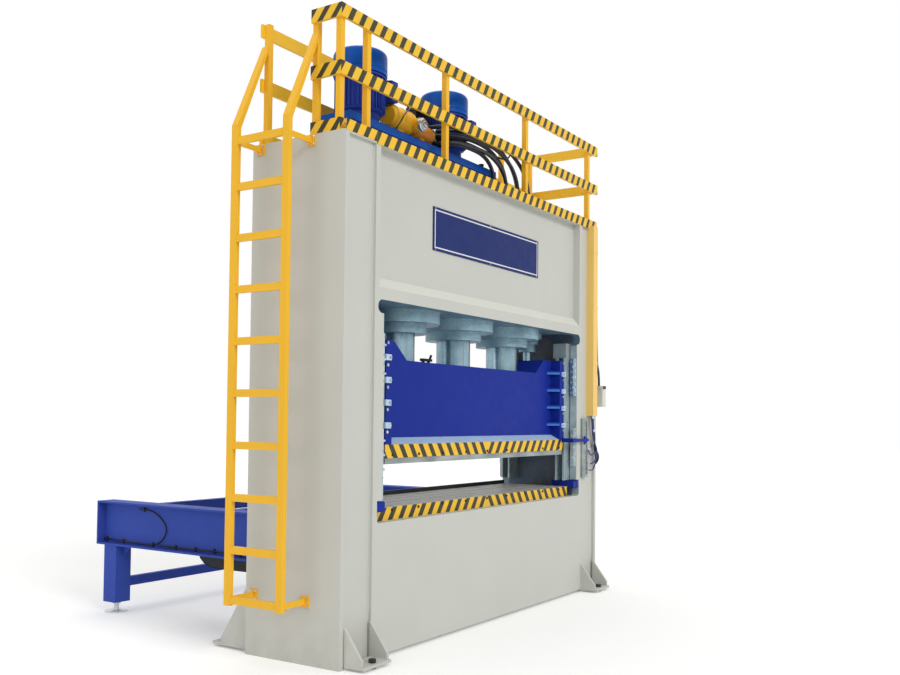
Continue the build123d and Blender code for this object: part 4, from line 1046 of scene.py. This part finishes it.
def makeColumnFittings():
    fittings = {
        "scaleGlands": ((2.075, 1.61), (2.075, 1.385), (2.08, 1.45)), "scaleFace": -0.517,
        "sleeves": ((2.235, 1.84, 0.3), (2.262, 1.7, 0.15)), "sleeveDepth": -0.512,
        "ductGland": (2.21, -0.51, 1.992),
        "scaleX": (1.945, 2.07), "scaleZ": (1.32, 1.93), "scaleSize": 0.009,
        "boxX": (2.374, 2.435), "boxZ": (2.115, 2.295), "boxFace": -0.574, "boxSize": 0.005,
    }
    outwards = (0, -1, 0)
    form = bmesh.new()
    gland = [(0, 0), (0.014, 0), (0.014, 0.014), (0.01, 0.02), (0, 0.02)]
    for x, z in fittings["scaleGlands"]:
        lathe(form, gland, (x, fittings["scaleFace"], z), outwards, 16)
    for x, z, lean in fittings["sleeves"]:
        drum(form, 0.018, 0.035, (x, fittings["sleeveDepth"], z), (lean, 0, -1), 16)
    mouth = [(0, 0), (0.026, 0), (0.026, 0.02), (0.018, 0.035), (0, 0.035)]
    lathe(form, mouth, fittings["ductGland"], (0, 0, -1), 24)
    for place in grid(fittings["scaleX"], [fittings["scaleFace"]], fittings["scaleZ"]):
        socket(form, place, outwards, fittings["scaleSize"])
    for place in grid(fittings["boxX"], [fittings["boxFace"]], fittings["boxZ"]):
        socket(form, place, outwards, fittings["boxSize"])
    shape("column_fittings", form, "brightBolt")


makeColumnFittings()


# dark cap on the switch box

def makeSwitchCap():
    form = bmesh.new()
    block(form, (2.36, -0.576, 2.308), (2.449, -0.467, 2.345))
    shape("switch_cap", form, "blackCasting", 0.004)


makeSwitchCap()


# bands over the joints of the duct

def makeDuctBands():
    duct = {"joints": (2.6, 3.25, 3.9), "middle": 2.19, "half": 0.058, "front": -0.558, "back": -0.5,
            "bandHalf": 0.02}
    left, right = duct["middle"] - duct["half"], duct["middle"] + duct["half"]
    form = bmesh.new()
    for z in duct["joints"]:
        block(form, (left, duct["front"], z - duct["bandHalf"]), (right, duct["back"], z + duct["bandHalf"]))
    shape("duct_bands", form, "ductYellow", 0.001)


makeDuctBands()
print("right column dressed")


# heads on the ladder's bracket plates and on the toe board at the posts

def makeFixings():
    ladder = {"face": -2.351, "stiles": (-0.145, 0.405), "brackets": (0.495, 4.15), "apart": 0.03,
              "size": 0.008}
    posts = {"places": (-2.29, -1.95, -0.77, 0.765, 2.3), "face": -0.436, "height": 4.24, "apart": 0.012,
             "size": 0.007}
    form = bmesh.new()
    for x, y, z in grid([ladder["face"]], ladder["stiles"], ladder["brackets"]):
        for across, up in ((-1, -1), (-1, 1), (1, -1), (1, 1)):
            place = (x, y + across * ladder["apart"], z + up * ladder["apart"])
            screw(form, place, (-1, 0, 0), ladder["size"])
    for x in posts["places"]:
        for shift in (-posts["apart"], posts["apart"]):
            screw(form, (x + shift, posts["face"], posts["height"] + shift * 2), (0, -1, 0), posts["size"])
    shape("ladder_and_rail_bolts", form, "brightBolt")


makeFixings()


# weld beads down the frame: each runs straight, with a small ripple from point to point

def makeBeads():
    bead = {"radius": 0.006, "ripple": 0.0016, "steps": 40, "face": 0.466, "top": 4.17}
    runs = {  # place along the front, side, lower end
        "bead_front_left": (-1.945, -1, 0.4),
        "bead_front_right": (1.945, -1, 0.4),
        "bead_rear_left": (-1.945, 1, 0.6),
        "bead_rear_right": (1.945, 1, 0.6),
        "bead_outer_left": (-2.322, -1, 0.3),
        "bead_outer_right": (2.322, -1, 0.3),
        "bead_outer_left_rear": (-2.322, 1, 0.6),
        "bead_outer_right_rear": (2.322, 1, 0.6),
    }
    for name, (x, side, low) in runs.items():
        steps = bead["steps"]
        route = [[x, side * bead["face"], low + (bead["top"] - low) * i / steps] for i in range(steps + 1)]
        for i, point in enumerate(route[1:-1]):
            point[1] += bead["ripple"] if i % 2 else -bead["ripple"]
        cable(name, route, bead["radius"], "framePaint")


makeBeads()
print("fixings placed")


# side plates of the drag chain's links, along both runs and round the fold

def makeChain():
    low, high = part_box("drag_chain")
    chain = {"pitch": 0.062, "inset": 0.03, "proud": 0.004, "long": 0.05, "deep": 0.044}
    middle, halfHigh = (low.z + high.z) / 2, (high.z - low.z) / 2
    radius = halfHigh - chain["inset"]
    start, end = low.y + halfHigh, high.y
    spots = []
    for i in range(int((end - start) / chain["pitch"])):
        y = start + (i + 0.5) * chain["pitch"]
        spots += [(y, middle + radius, 0), (y, middle - radius, math.pi)]
    turns = max(3, int(math.pi * radius / chain["pitch"]))
    for i in range(turns):
        angle = math.pi * (i + 0.5) / turns
        spots.append((start - radius * math.sin(angle), middle + radius * math.cos(angle), angle))
    form = bmesh.new()
    size = (chain["proud"], chain["long"], chain["deep"])
    for y, z, angle in spots:
        for x in (low.x - chain["proud"], high.x):
            bar(form, (x + chain["proud"] / 2, y, z), size, angle, "X")
    shape("drag_chain_links", form, "blackCasting", 0.003)


makeChain()
print("drag chain dressed")


# studio

# 1 for what the camera sees, straight, in a reflection or through something clear
def seenRays(tree):
    rays = tree.nodes.new("ShaderNodeLightPath")
    seen = rays.outputs["Is Camera Ray"]
    for kind in ("Is Glossy Ray", "Is Transmission Ray"):
        either = tree.nodes.new("ShaderNodeMath")
        either.operation = "MAXIMUM"
        tree.links.new(seen, either.inputs[0])
        tree.links.new(rays.outputs[kind], either.inputs[1])
        seen = either.outputs[0]
    return seen


def makeFloor():
    floor = {"colours": ("#f8f8f6", "#f5f5f3"), "size": 60, "rough": 0.9, "gloss": 0.1,
             "lift": 0.17}  # lights nothing: it is only seen
    mesh = bpy.data.meshes.new("floor")
    form = bmesh.new()
    bmesh.ops.create_grid(form, x_segments=1, y_segments=1, size=floor["size"])
    form.to_mesh(mesh)
    form.free()
    ground = bpy.data.objects.new("floor", mesh)
    link(ground)
    s = Shader("floor")
    colour = s.mix(s.noise(0.6, 2), *(linear(code) for code in floor["colours"]))
    s.set(s.surface, Base_Color=colour, Roughness=floor["rough"], Specular_IOR_Level=floor["gloss"])
    s.set(s.surface, Emission_Color=(1, 1, 1, 1))
    s.set(s.surface, Emission_Strength=s.both(seenRays(s.tree), floor["lift"]))
    mesh.materials.append(s.material)


# the backdrop is white to the camera and in reflections, and lights the part less
def makeWorld():
    sky = 0.46
    world = bpy.data.worlds.new("studio")
    bpy.context.scene.world = world
    world.use_nodes = True
    tree = world.node_tree
    strength = tree.nodes.new("ShaderNodeMapRange")
    strength.inputs["To Min"].default_value = sky
    strength.inputs["To Max"].default_value = 1.0
    tree.links.new(seenRays(tree), strength.inputs["Value"])
    background = tree.nodes["Background"]
    background.inputs["Color"].default_value = (1, 1, 1, 1)
    tree.links.new(strength.outputs["Result"], background.inputs["Strength"])


def makeSuns():
    suns = {  # towards where it shines from, strength, softness in degrees
        "key": ((-0.25, -0.85, 0.5), 1.3, 25),
        "top": ((0.1, 0.2, 1.0), 0.95, 60),
        "fill": ((-1.0, 0.15, 0.25), 0.45, 40),
    }
    for name, (towards, power, softness) in suns.items():
        light = bpy.data.lights.new(name, "SUN")
        light.energy = power
        light.angle = math.radians(softness)
        sun = bpy.data.objects.new(name, light)
        sun.rotation_euler = Vector(towards).to_track_quat("Z", "Y").to_euler()
        link(sun)


makeFloor()
makeWorld()
makeSuns()
bpy.context.scene.view_settings.view_transform = "Standard"
print("studio lit")
